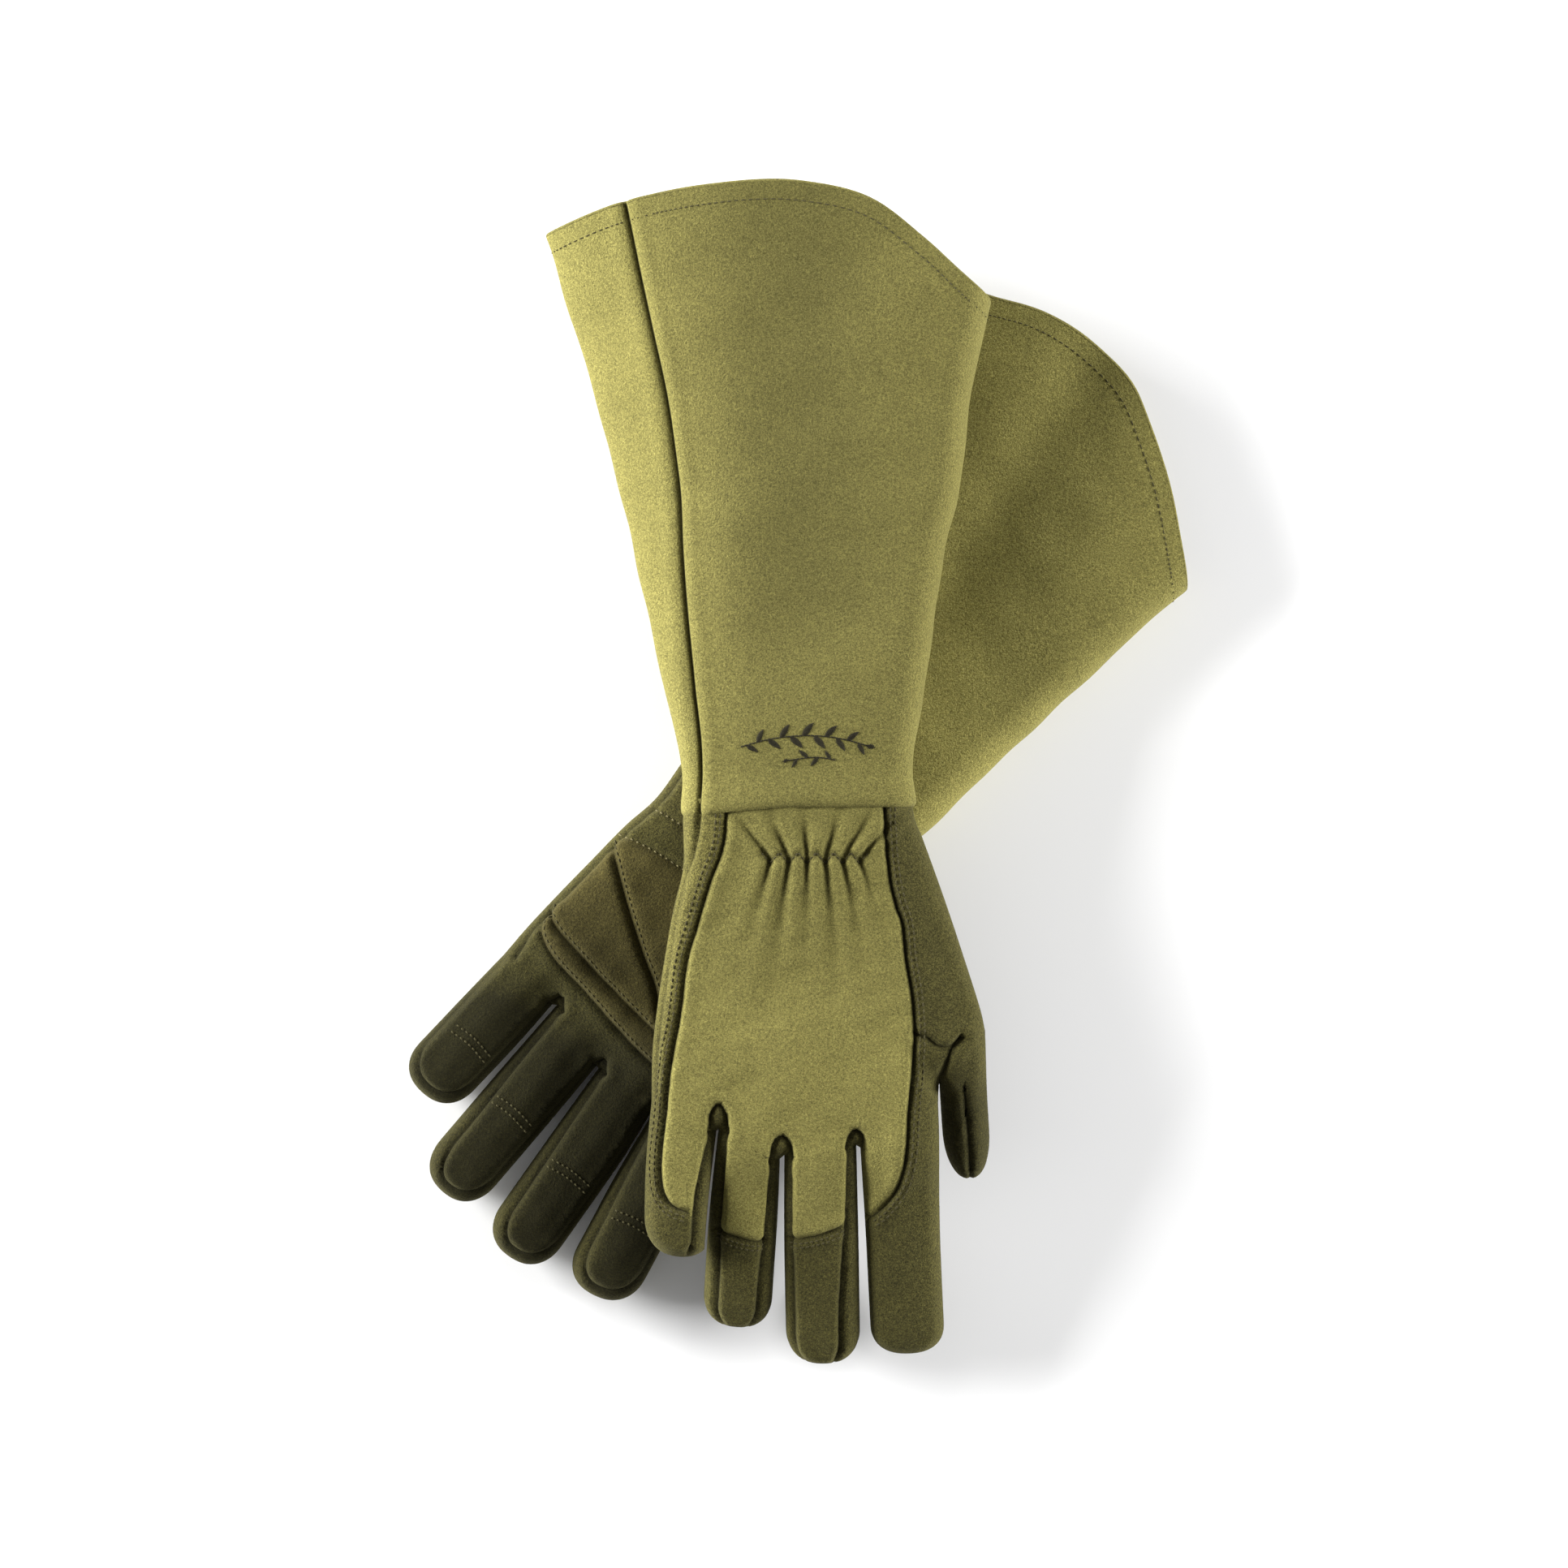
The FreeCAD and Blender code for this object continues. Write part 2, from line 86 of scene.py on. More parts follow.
GLOVES = {
    "right": {"x": -2.06, "y": -13.2, "turn": 0.0, "up": "dorsal"},
    "left": {"x": -8.86, "y": -17.6, "turn": -36.87, "up": "palmar"},
}
FINGERS = ("little", "ring", "middle", "index", "thumb")
NEIGHBOURS = (("little", "ring"), ("ring", "middle"), ("middle", "index"))
# The space kept between two stalls, and how far up beside the index the thumb gives way to it.
STALL_GAP = 0.7
WEB_REACH = 24.0

# x, y: middle of the stall's base; yaw: turn towards the thumb; half: half width at the base;
# full: half width at its widest; drift: how far the tip bends towards the thumb; droop: from the
# hand's plane. root: where its free edges begin, on the little finger's side and on the thumb's.
# point: length of the rounded tip as a share of the half width.
STALLS = {
    "right": {
        "little": dict(x=-43.6, y=-112.8, yaw=-4.0, half=12.4, full=13.4, drift=2.4, length=57.8,
                       droop=0.0, root=(0.0, 9.0), point=1.1),
        "ring": dict(x=-18.4, y=-120.9, yaw=-4.6, half=11.8, full=13.2, drift=0.8, length=79.3,
                     droop=16.0, root=(2.0, 10.0), point=0.98),
        "middle": dict(x=8.3, y=-124.6, yaw=0.6, half=13.6, full=14.3, drift=0.6, length=90.0,
                       droop=15.0, root=(6.4, 3.4), point=1.02),
        "index": dict(x=38.4, y=-123.0, yaw=2.2, half=15.2, full=14.2, drift=1.0, length=87.6,
                      droop=15.0, root=(5.0, 0.0), point=0.8),
        "thumb": dict(x=61.9, y=-85.0, yaw=2.6, half=9.2, full=9.0, drift=1.6, length=56.5,
                      droop=18.0, root=(16.0, 0.0), point=2.3),
    },
    "left": {
        "little": dict(x=-41.2, y=-107.4, yaw=-5.4, half=13.4, full=14.0, drift=-1.0, length=61.2,
                       droop=0.0, root=(0.0, 2.0), point=1.0),
        "ring": dict(x=-13.0, y=-110.5, yaw=-3.4, half=13.4, full=13.9, drift=-0.2, length=84.0,
                     droop=0.0, root=(0.0, 8.0), point=1.1),
        "middle": dict(x=14.8, y=-113.6, yaw=2.2, half=13.6, full=14.2, drift=-0.6, length=85.4,
                       droop=0.0, root=(5.5, 3.0), point=1.05),
        "index": dict(x=40.6, y=-117.0, yaw=10.4, half=12.4, full=14.6, drift=-1.6, length=75.2,
                      droop=0.0, root=(2.0, 0.0), point=1.0),
        "thumb": dict(x=46.4, y=-51.6, yaw=54.0, half=10.0, full=11.0, drift=0.0, length=50.0,
                      droop=0.0, root=(0.0, 0.0), point=1.6),
    },
}
# Seams of the back, on the little finger's side and on the thumb's: how far they lie inside the
# outline, as (at the base, at the tip).
BACK_SEAMS = {
    "little": ((4.5, 5.5), (1.4, 7.6)),
    "ring": ((3.0, 5.0), (2.6, 5.2)),
    "middle": ((2.2, 2.8), (2.8, 7.6)),
    "index": ((0.8, 1.6), (2.0, 2.2)),
}
THUMB_SEAM = {"right": (8.8, 9.6), "left": (8.8, 11.5)}
# Where the tip's cap begins, on the little finger's side and on the thumb's.
TIP_CAPS = {"ring": (37.0, 40.0), "middle": (36.5, 30.5)}
# Palm side: the stall's palm piece is sewn in a U, further in on the little finger's side.
PALM_SEAMS = {
    "little": (1.6, 2.2),
    "ring": (4.6, 2.0),
    "middle": (4.4, 2.0),
    "index": (4.0, 2.0),
    "thumb": (3.0, 2.5),
}
# How far the palm piece's seam keeps from the fingertip, and its insets at the base as a share of
# those at the tip.
TIP_INSET = 4.6
PALM_BASE_SHARE = 0.6
# Where the stitching of the fingertip patch crosses each palm piece.
TIP_PATCH = {"little": 31.0, "ring": 40.0, "middle": 43.0, "index": 40.0}
# How far up between two stalls the dark walls reach into the back, as y at the top of the bend.
CROTCH_TOPS = {"little": -112.0, "ring": -124.4, "middle": -122.2}

# The hand's free edges, from the wrist down to the little finger, and from the wrist to the thumb.
OUTER_EDGE = {
    "right": ((-44.0, -4.0), (-43.9, -22.0), (-47.6, -38.0), (-51.0, -57.0), (-53.6, -74.0),
              (-55.6, -92.0)),
    "left": ((-44.0, -4.0), (-43.7, -22.0), (-46.9, -38.0), (-49.4, -57.0), (-51.6, -74.0),
             (-53.6, -92.0)),
}
THUMB_EDGE = {
    "right": ((44.4, -4.0), (47.6, -12.0), (56.2, -36.0), (63.5, -58.0), (69.2, -76.0)),
    "left": ((45.0, -6.0), (49.5, -24.0)),
}
INDEX_EDGE = {
    "right": ((53.2, -111.0),),
    "left": ((45.5, -84.0),),
}
HAND_TOP = 4.0
FINE_AREA = ((-32.0, -62.0), (42.0, HAND_TOP - 0.5))

# The pale back panel's two long edges down to the knuckles, and its rounded ends on two stalls.
BACK_OUTER = ((-27.4, 1.0), (-28.6, -13.5), (-33.7, -28.0), (-38.1, -42.3), (-42.4, -57.0),
              (-44.8, -75.5), (-48.6, -97.0))
BACK_INNER = ((32.6, 1.0), (33.2, -12.2), (34.8, -26.5), (37.0, -36.7), (39.4, -43.8),
              (40.7, -56.9), (42.9, -69.9), (44.0, -85.0), (43.2, -100.0), (41.8, -114.0))
LEFT_INNER_SHIFT = 5.0
LITTLE_TONGUE = ((-7.0, -4.5), (-7.6, -17.5), (-7.0, -27.8), (-4.6, -34.9), (-0.4, -38.2),
                 (4.4, -39.6))
INDEX_TONGUE = ((2.6, -4.0), (1.0, -10.5), (-2.4, -17.5), (-7.6, -24.4), (-12.6, -29.0))
# The seam beside the little finger's edge, and the two seams of the web between index and thumb.
STRIP_LINE = ((-37.1, 1.0), (-37.6, -4.0), (-39.3, -14.6), (-43.4, -27.6), (-46.8, -42.6),
              (-49.2, -58.0), (-51.9, -76.0), (-53.7, -92.0), (-54.2, -108.0))
THUMB_NOTCH = ((44.0, -85.0), (48.5, -86.6), (53.2, -90.0), (57.4, -89.6), (61.6, -86.4))
THUMB_WEB = ((61.6, -86.4), (57.4, -91.6), (53.8, -99.6))
# The elastic's zigzag across the back: x of its low points, how far the pleat from each one
# reaches, the y they lie at, how far above them its high points are, and the x that pleats fan from.
GATHER_LOW = (-10.7, -3.7, 3.2, 10.1, 16.6, 23.0)
GATHER_REACH = (0.7, 1.5, 1.0, 1.6, 1.15, 0.6)
GATHER_Y = -20.6
GATHER_RISE = 4.2
GATHER_CENTRE = 5.0
PLEAT_DEPTH = 2.6

# Palm panels, as corners in the glove frame.
PALM_SEAM_LINES = {
    "row_one": ((-50.0, -27.0), (-30.0, -24.6), (0.0, -22.6), (30.0, -24.0), (70.0, -27.0)),
    "row_two": ((-50.0, -43.2), (-38.0, -39.8), (-20.0, -37.9), (10.0, -37.5), (35.0, -39.5),
                (70.0, -44.0)),
    "heel": ((-52.0, -43.5), (-46.9, -46.5), (-32.0, -58.5), (-21.6, -66.2), (-11.0, -73.6),
             (0.0, -80.7), (13.0, -92.6)),
    "knuckle_top": ((-58.0, -79.0), (-49.0, -82.5), (-44.0, -85.4), (-28.7, -88.3), (-16.4, -90.6),
                    (13.0, -94.4), (38.0, -93.0)),
    "knuckle_low": ((-58.0, -76.0), (-50.6, -80.5), (-50.4, -86.0), (-47.0, -91.0), (-40.8, -94.2),
                    (-32.8, -96.3), (-21.2, -98.2), (3.0, -103.2), (20.0, -105.0), (38.0, -103.0)),
    "palm_inner": ((36.0, -20.0), (38.0, -43.0), (39.0, -70.0), (38.0, -93.0), (38.0, -103.0)),
}
PALM_STRIP_WIDTH = 2.4
PAD_PANELS = ("outer_heel_pad", "inner_heel_pad", "knuckle_pad")
PAD_RISE = 1.2


# ---------------------------------------------------------------- plain geometry


def arr(points):
    return np.array(points, float).reshape(-1, 2)


def resample(points, step):
    """The same line with evenly spaced points, about step apart, both ends kept."""
    points = arr(points)
    lengths = np.hypot(*np.diff(points, axis=0).T)
    along = np.concatenate(([0.0], np.cumsum(lengths)))
    count = max(2, int(round(along[-1] / step)) + 1)
    at = np.linspace(0.0, along[-1], count)
    return np.column_stack((np.interp(at, along, points[:, 0]), np.interp(at, along, points[:, 1])))


def smooth_line(points, step=EDGE_STEP):
    """A Catmull-Rom curve through the points, evenly divided."""
    points = arr(points)
    if len(points) < 3:
        return resample(points, step)
    ends = np.vstack((2 * points[0] - points[1], points, 2 * points[-1] - points[-2]))
    out = []
    for a, b, c, d in zip(ends, ends[1:], ends[2:], ends[3:]):
        for t in np.linspace(0.0, 1.0, 12, endpoint=False):
            out.append(0.5 * (2 * b + (c - a) * t + (2 * a - 5 * b + 4 * c - d) * t**2
                              + (3 * b - a - 3 * c + d) * t**3))
    out.append(points[-1])
    return resample(out, step)


def turned(points, degrees):
    angle = math.radians(degrees)
    c, s = math.cos(angle), math.sin(angle)
    points = arr(points)
    return np.column_stack((points[:, 0] * c - points[:, 1] * s, points[:, 0] * s + points[:, 1] * c))


def inside(points, polygon):
    """Which points lie inside a closed polygon."""
    x, y = points[:, 0], points[:, 1]
    hit = np.zeros(len(points), bool)
    for (x0, y0), (x1, y1) in zip(polygon, np.roll(polygon, -1, axis=0)):
        if y0 == y1:
            continue
        crosses = (y0 > y) != (y1 > y)
        hit ^= crosses & (x < (x1 - x0) * (y - y0) / (y1 - y0) + x0)
    return hit


def gap_to(points, lines):
    """The distance from each point to the nearest of several open lines."""
    best = np.full(len(points), 1e9)
    for line in lines:
        for a, b in zip(line, line[1:]):
            ab = b - a
            t = np.clip(((points - a) @ ab) / max(ab @ ab, 1e-12), 0, 1)
            away = points - (a + t[:, None] * ab)
            np.minimum(best, np.hypot(away[:, 0], away[:, 1]), out=best)
    return best


def offset_line(line, distance):
    """The line moved sideways, to its left for a positive distance."""
    line = arr(line)
    along = np.gradient(line, axis=0)
    along /= np.maximum(np.hypot(along[:, 0], along[:, 1]), 1e-9)[:, None]
    return line + distance * np.column_stack((-along[:, 1], along[:, 0]))


def smoothstep(t):
    t = np.clip(t, 0.0, 1.0)
    return t * t * (3 - 2 * t)


def ripples(points, wavelength, seed, waves=7):
    """Soft noise of about that wavelength: a few crossing sine waves, from -1 to 1."""
    rng = np.random.default_rng(seed)
    total = np.zeros(len(points))
    for _ in range(waves):
        angle = rng.uniform(0, 2 * math.pi)
        size = wavelength * rng.uniform(0.7, 1.5)
        along = points[:, 0] * math.cos(angle) + points[:, 1] * math.sin(angle)
        total += np.sin(along * 2 * math.pi / size + rng.uniform(0, 2 * math.pi))
    return total / math.sqrt(waves * 2)


# ---------------------------------------------------------------- outline of a glove


def stall_to_glove(stall, points):
    return turned(points, stall["yaw"]) + (stall["x"], stall["y"])


def glove_to_stall(stall, points):
    return turned(arr(points) - (stall["x"], stall["y"]), -stall["yaw"])


def stall_half(stall, along):
    """Half width of a stall at a distance from its base, before its rounded end."""
    full = stall["full"] - stall["half"]
    return stall["half"] + full * np.sin(np.clip(along / (0.55 * stall["length"]), 0, 1) * math.pi / 2)


def stall_drift(stall, along):
    return stall["drift"] * np.clip(along / stall["length"], 0, 1) ** 2


def stall_side(stall, sign, inset_base=0.0, inset_tip=0.0, tip_inset=0.0, step=EDGE_STEP):
    """One side of a stall from its root to its tip, in its own frame, set in from the outline."""
    length = stall["length"] - tip_inset
    tip = stall["point"] * stall["full"]
    straight = length - tip
    root = stall["root"][0] if sign < 0 else stall["root"][1]
    points = []
    for s in np.linspace(root, straight, 24, endpoint=False):
        inset = inset_base + (inset_tip - inset_base) * float(smoothstep(s / straight))
        points.append((sign * (stall_half(stall, s) - inset) + stall_drift(stall, s), -s))
    wide = stall["full"] - inset_tip
    for angle in np.linspace(0.0, math.pi / 2, 14):
        s = straight + tip * math.sin(angle) ** 0.9
        points.append((sign * wide * math.cos(angle) ** 0.86 + stall_drift(stall, s), -s))
    return resample(points, step)


def stall_outline(stall):
    """The whole free edge of a stall, from the little finger's side round the tip to the thumb's."""
    first = stall_side(stall, -1)
    second = stall_side(stall, 1)
    return np.vstack((first, second[::-1][1:]))


def give_way(outline, stall, sign, start=0.0):
    """Moves a stall's outline clear of the side of the stall next to it."""
    local = glove_to_stall(stall, outline)
    along = -local[:, 1]
    wall = sign * (stall_half(stall, along) + STALL_GAP) + stall_drift(stall, along)
    beside = (along > start) & (along < stall["length"] - stall["point"] * stall["full"])
    over = beside & ((local[:, 0] - wall) * sign < 0)
    local[over, 0] = wall[over]
    return stall_to_glove(stall, local)


def layout(side):
    """The glove's outline: its free edges, the stalls' base lines and the closed shapes they make."""
    stalls = STALLS[side]
    free, bases, shapes, corners = [], {}, {}, {}
    for finger in FINGERS:
        outline = stall_to_glove(stalls[finger], stall_outline(stalls[finger]))
        for first, second in NEIGHBOURS:
            if finger == first:
                outline = give_way(outline, stalls[second], -1)
        if finger == "thumb":
            outline = give_way(outline, stalls["index"], 1, -WEB_REACH)
        corners[finger] = (outline[0], outline[-1])
        free.append(outline)
        bases[finger] = resample((outline[0], outline[-1]), EDGE_STEP)
        shapes[finger] = outline
    first_corner, last_corner = (-WRIST_HALF, HAND_TOP), (WRIST_HALF, HAND_TOP)
    outer = smooth_line([first_corner, *OUTER_EDGE[side], corners["little"][0]])
    index_edge = smooth_line([corners["index"][1], *INDEX_EDGE[side], corners["thumb"][0]])
    thumb_edge = smooth_line([corners["thumb"][1], *THUMB_EDGE[side][::-1], last_corner])
    free += [outer, index_edge, thumb_edge]
    for first, second in NEIGHBOURS:
        free.append(np.array((corners[first][1], corners[second][0])))
    wrist = resample((last_corner, first_corner), EDGE_STEP)
    fingers = [bases[finger] for finger in FINGERS[:-1]]
    shapes["hand"] = np.vstack([outer, *fingers, index_edge, bases["thumb"], thumb_edge, wrist])
    return {"free": free, "bases": bases, "shapes": shapes, "wrist": wrist}


def seam_root(stall, sign, insets):
    """Where a seam set in from one side of a stall begins."""
    return stall_to_glove(stall, stall_side(stall, sign, *insets)[:1])[0]


def stall_seam(stall, sign, base, tip, tip_inset=0.0):
    return stall_to_glove(stall, stall_side(stall, sign, base, tip, tip_inset))


def joined(*lines):
    return np.vstack([arr(line) for line in lines])


def hand_share(side, drawn):
    """The hand's length as a share of the glove's that its lines are drawn for."""
    return STALLS[side]["little"]["y"] / STALLS[drawn]["little"]["y"]


def scaled_y(points, side, drawn="right"):
    return arr(points) * (1.0, hand_share(side, drawn))


def back_lines(side):
    """The seams of the back, and the shapes that name its panels."""
    stalls = STALLS[side]
    little, index = stalls["little"], stalls["index"]
    outer = smooth_line(joined(scaled_y(BACK_OUTER, side), stall_to_glove(little, LITTLE_TONGUE)))
    inner_points = joined(scaled_y(BACK_INNER, side), stall_to_glove(index, INDEX_TONGUE))
    if side == "left":
        shift = (LEFT_INNER_SHIFT, 0.0)
        inner_points = inner_points - np.outer(smoothstep(-inner_points[:, 1] / 60.0), shift)
    inner = smooth_line(inner_points)
    strip = smooth_line(scaled_y(STRIP_LINE, side))
    seams = {"back_outer": outer, "back_inner": inner, "strip": strip}
    seams["little_inner"] = stall_seam(little, 1, *BACK_SEAMS["little"][1])
    for finger, (near, far) in TIP_CAPS.items():
        stall = stalls[finger]
        low, high = BACK_SEAMS[finger]
        seams[f"{finger}_outer"] = stall_seam(stall, -1, *low)
        seams[f"{finger}_inner"] = stall_seam(stall, 1, *high)
        left = -stall["full"] + low[1]
        right = stall["full"] - high[1]
        centre = (0.5 * (left + right), -(near + far) / 2 - 0.7)
        across = [(left - 1.5, -near), centre, (right + 1.5, -far)]
        seams[f"{finger}_cap"] = stall_to_glove(stall, smooth_line(across))
    seams["thumb_outer"] = stall_seam(stalls["thumb"], -1, *THUMB_SEAM[side])
    for first, second in NEIGHBOURS:
        a = seam_root(stalls[first], 1, BACK_SEAMS[first][1])
        b = seam_root(stalls[second], -1, BACK_SEAMS[second][0])
        top = max(CROTCH_TOPS[first] * hand_share(side, "right"), max(a[1], b[1]) + 3.0)
        rising = (a[0] + 0.2, a[1] + 0.62 * (top - a[1]))
        falling = (b[0] - 0.2, b[1] + 0.62 * (top - b[1]))
        middle = ((a[0] + b[0]) / 2, top)
        seams[f"{first}_crotch"] = smooth_line((a, rising, middle, falling, b))
    if side == "right":
        seams["thumb_notch"] = smooth_line(THUMB_NOTCH)
        seams["thumb_web"] = smooth_line(THUMB_WEB)
    return seams


def palm_lines(side):
    """The seams of the palm."""
    stalls = STALLS[side]
    seams = {name: smooth_line(scaled_y(points, side, "left"))
             for name, points in PALM_SEAM_LINES.items()}
    insets = {finger: [(inset * PALM_BASE_SHARE, inset) for inset in PALM_SEAMS[finger]]
              for finger in FINGERS}
    for finger in FINGERS:
        stall = stalls[finger]
        first = stall_side(stall, -1, *insets[finger][0], TIP_INSET)
        second = stall_side(stall, 1, *insets[finger][1], TIP_INSET)
        seams[f"{finger}_palm"] = stall_to_glove(stall, np.vstack((first, second[::-1][1:])))
    for first, second in NEIGHBOURS:
        a = seam_root(stalls[first], 1, insets[first][1])
        b = seam_root(stalls[second], -1, insets[second][0])
        seams[f"{first}_crotch"] = smooth_line((a, ((a + b) / 2 + (0.0, 4.4)), b))
    little = stalls["little"]
    outer = stall_to_glove(little, [(-little["half"] + 2.2, 0.0)])[0]
    edge = smooth_line([(-WRIST_HALF, HAND_TOP), *OUTER_EDGE[side], outer])
    seams["strip"] = offset_line(edge, PALM_STRIP_WIDTH)[1:-1]
    return seams


# ---------------------------------------------------------------- cutting a sheet into triangles


def thinned(points, spacing):
    """The points with near neighbours dropped, the first ones kept."""
    kept, cells = [], {}
    for point in points:
        cell = (int(math.floor(point[0] / spacing)), int(math.floor(point[1] / spacing)))
        near = (cells.get((cell[0] + i, cell[1] + j)) for i in (-1, 0, 1) for j in (-1, 0, 1))
        if any(other is not None and math.dist(other, point) < spacing for other in near):
            continue
        cells[cell] = tuple(point)
        kept.append(point)
    return arr(kept)


def within(points, plan):
    """Which points lie on the glove's plan."""
    return np.logical_or.reduce([inside(points, shape) for shape in plan["shapes"].values()])


def staggered(low, high, step):
    """Points in offset rows, so that they make nearly even triangles."""
    x, y = np.meshgrid(np.arange(low[0], high[0], step), np.arange(low[1], high[1], step * 0.87))
    x[1::2] += step / 2
    return np.column_stack((x.ravel(), y.ravel()))


def cut_sheet(plan, seams, fine):
    """Triangles of one sheet, with every seam and base line along their edges.

    fine asks for small triangles where the elastic draws the cloth together."""
    rim_lines = plan["free"]
    rim_points = np.vstack(rim_lines)
    lines = []
    for name, seam in seams.items():
        line = seam[within(seam, plan) & (gap_to(seam, rim_lines) > 0.75)]
        if name.endswith(("_outer", "_inner")) and name != "back_outer":
            nearest = rim_points[np.argmin(np.hypot(*(rim_points - line[-1]).T))]
            line = np.vstack((line, nearest))
        if len(line) > 1:
            lines.append(line)
    fixed = rim_lines + list(plan["bases"].values()) + [plan["wrist"]] + lines
    verts, edges = [], []
    for line in fixed:
        start = len(verts)
        verts += [tuple(p) for p in line]
        edges += [(start + i, start + i + 1) for i in range(len(line) - 1)]
    loose = []
    for line in rim_lines:
        for row in EDGE_ROWS:
            for sign in (-1, 1):
                moved = offset_line(line, sign * row)
                loose.append(moved[gap_to(moved, rim_lines) > 0.93 * row])
    for line in lines:
        for row in SEAM_ROWS:
            for sign in (-1, 1):
                moved = offset_line(resample(line, 1.4), sign * row)
                loose.append(moved[gap_to(moved, rim_lines) > 0.25])
    rows = np.vstack(loose)
    rows = rows[gap_to(rows, lines) > 0.3]
    grid = staggered(rim_points.min(0), (rim_points[:, 0].max(), HAND_TOP), SHEET_STEP)
    if fine:
        grid = np.vstack((grid, staggered(*FINE_AREA, FINE_STEP)))
    grid = grid[gap_to(grid, rim_lines) > EDGE_ROWS[-1] + 0.8]
    loose = np.vstack((rows, grid))
    loose = loose[within(loose, plan) & (gap_to(loose, fixed) > 0.24)]
    # near the rim the rows are closer together than the spacing elsewhere
    close = gap_to(loose, rim_lines) < 1.4
    loose = np.vstack((thinned(loose[close], 0.42), thinned(loose[~close], 0.6)))
    verts += [tuple(p) for p in loose]
    cut = delaunay_2d_cdt([Vector(v) for v in verts], edges, [], 0, 1e-5)
    points = arr([tuple(v) for v in cut[0]])
    faces = np.array(cut[2], int)
    faces = faces[within(points[faces].mean(1), plan)]
    rim_count = sum(len(line) for line in rim_lines)
    rim_ids = {}
    for index, sources in enumerate(cut[3]):
        for source in sources:
            if source < rim_count:
                rim_ids[index] = min(source, rim_ids.get(index, source))
    return points, faces, rim_ids


# ---------------------------------------------------------------- giving a sheet its depth


def zigzag_line():
    """The elastic's zigzag, from its first high point to its last."""
    half = (GATHER_LOW[1] - GATHER_LOW[0]) / 2
    corners = [(GATHER_LOW[0] - half, GATHER_Y + GATHER_RISE)]
    for low, following in zip(GATHER_LOW, GATHER_LOW[1:] + (GATHER_LOW[-1] + 2 * half,)):
        corners += [(low, GATHER_Y), ((low + following) / 2, GATHER_Y + GATHER_RISE)]
    return arr(corners)


def gather_depth(points):
    """The pleats drawn together by the elastic: creases that fan out from the zigzag's low points, and
    how much painted shade lies in them and along the zigzag.
    """
    reach = points[:, 1] - (GATHER_Y + GATHER_RISE / 2)
    above = np.maximum(reach, 0.0)
    below = np.maximum(-reach, 0.0)
    spread = 1 + above / 19.0 + below / 60.0
    total = np.zeros(len(points))
    creased = np.zeros(len(points))
    for low, far in zip(GATHER_LOW, GATHER_REACH):
        line_x = GATHER_CENTRE + (low - GATHER_CENTRE) * spread
        gap = np.abs(points[:, 0] - line_x)
        depth = np.exp(-((above / 16.0) ** 2)) * np.exp(-below / (24.0 * far))
        width = 1.15 + above / 12.0 + below / 14.0
        total = np.minimum(total, -PLEAT_DEPTH * depth * np.exp(-((gap / width) ** 2)))
        creased = np.maximum(creased, depth * np.exp(-((gap / (0.6 * width)) ** 2)))
    middle = (points[:, 0] - GATHER_CENTRE) / spread
    across = smoothstep((24.0 - np.abs(middle)) / 7.0)
    fade = np.exp(-((above / 14.0) ** 2)) * np.exp(-((below / 27.0) ** 2))
    zigzag = gap_to(points, [zigzag_line()])
    total += across * fade - np.exp(-((zigzag / 0.9) ** 2))
    return total, np.maximum(0.55 * creased * fade, 0.8 * np.exp(-((zigzag / 0.6) ** 2)))


# How deep each seam draws the cloth in, as a share of the deepest, by its name or its name's end.
SEAM_DEPTHS = {"strip": 0.75, "thumb_notch": 0.75, "cap": 0.75, "row_one": 0.3, "row_two": 0.3,
               "heel": 0.5, "knuckle_top": 0.5, "knuckle_low": 0.5, "palm_inner": 0.5, "palm": 0.7}


def relief(points, rim_gap, seams, kind, side):
    """How far the cloth stands out from the smooth form, and how much painted shade each point gets for
    lying in a crease.
    """
    out = np.zeros(len(points))
    crease = np.zeros(len(points))
    inner = smoothstep(rim_gap / 4.0)
    for name, line in seams.items():
        gap = gap_to(points, [line])
        deep = SEAM_DEPTHS.get(name, SEAM_DEPTHS.get(name.split("_")[-1], 1.0))
        fall = -1.35 * np.exp(-((gap / 0.6) ** 2)) - 0.45 * np.exp(-((gap / 1.6) ** 2))
        swell = 0.5 * np.exp(-(((gap - 3.3) / 2.1) ** 2))
        out += inner * (deep * fall + swell)
        crease = np.maximum(crease, (0.35 + 0.65 * inner) * deep * np.exp(-((gap / 0.62) ** 2)))
    if kind == "dorsal":
        pleats, creased = gather_depth(points)
        out += pleats
        crease = np.maximum(crease, creased)
    away = smoothstep(rim_gap / 10.0)
    broad, small = ripples(points, 36.0, 11 + len(side)), ripples(points, 13.0, 23 + len(side))
    out += away * (0.5 * broad + 0.2 * small)
    return out, crease


def puff(gap):
    """Half the glove's depth at a distance from its outline."""
    rounded = SIDE_RISE * np.sqrt(1 - (1 - np.clip(gap / SIDE_ROUND, 0, 1)) ** 2)
    return rounded + CROWN_RISE * np.sin(np.clip(gap / CROWN_REACH, 0, 1) * math.pi / 2)


def relax(values, faces, free, rounds):
    """Evens out values over the triangles' corners, leaving the others as they are."""
    edges = np.vstack((faces[:, (0, 1)], faces[:, (1, 2)], faces[:, (2, 0)]))
    for _ in range(rounds):
        total = np.zeros(len(values))
        count = np.zeros(len(values))
        for a, b in ((0, 1), (1, 0)):
            np.add.at(total, edges[:, a], values[edges[:, b]])
            np.add.at(count, edges[:, a], 1)
        values = np.where(free, total / np.maximum(count, 1), values)
    return values


def vertex_normals(points, faces):
    a, b, c = (points[faces[:, i]] for i in range(3))
    face = np.cross(b - a, c - a)
    normals = np.zeros_like(points)
    for i in range(3):
        np.add.at(normals, faces[:, i], face)
    return normals / np.maximum(np.linalg.norm(normals, axis=1), 1e-12)[:, None]


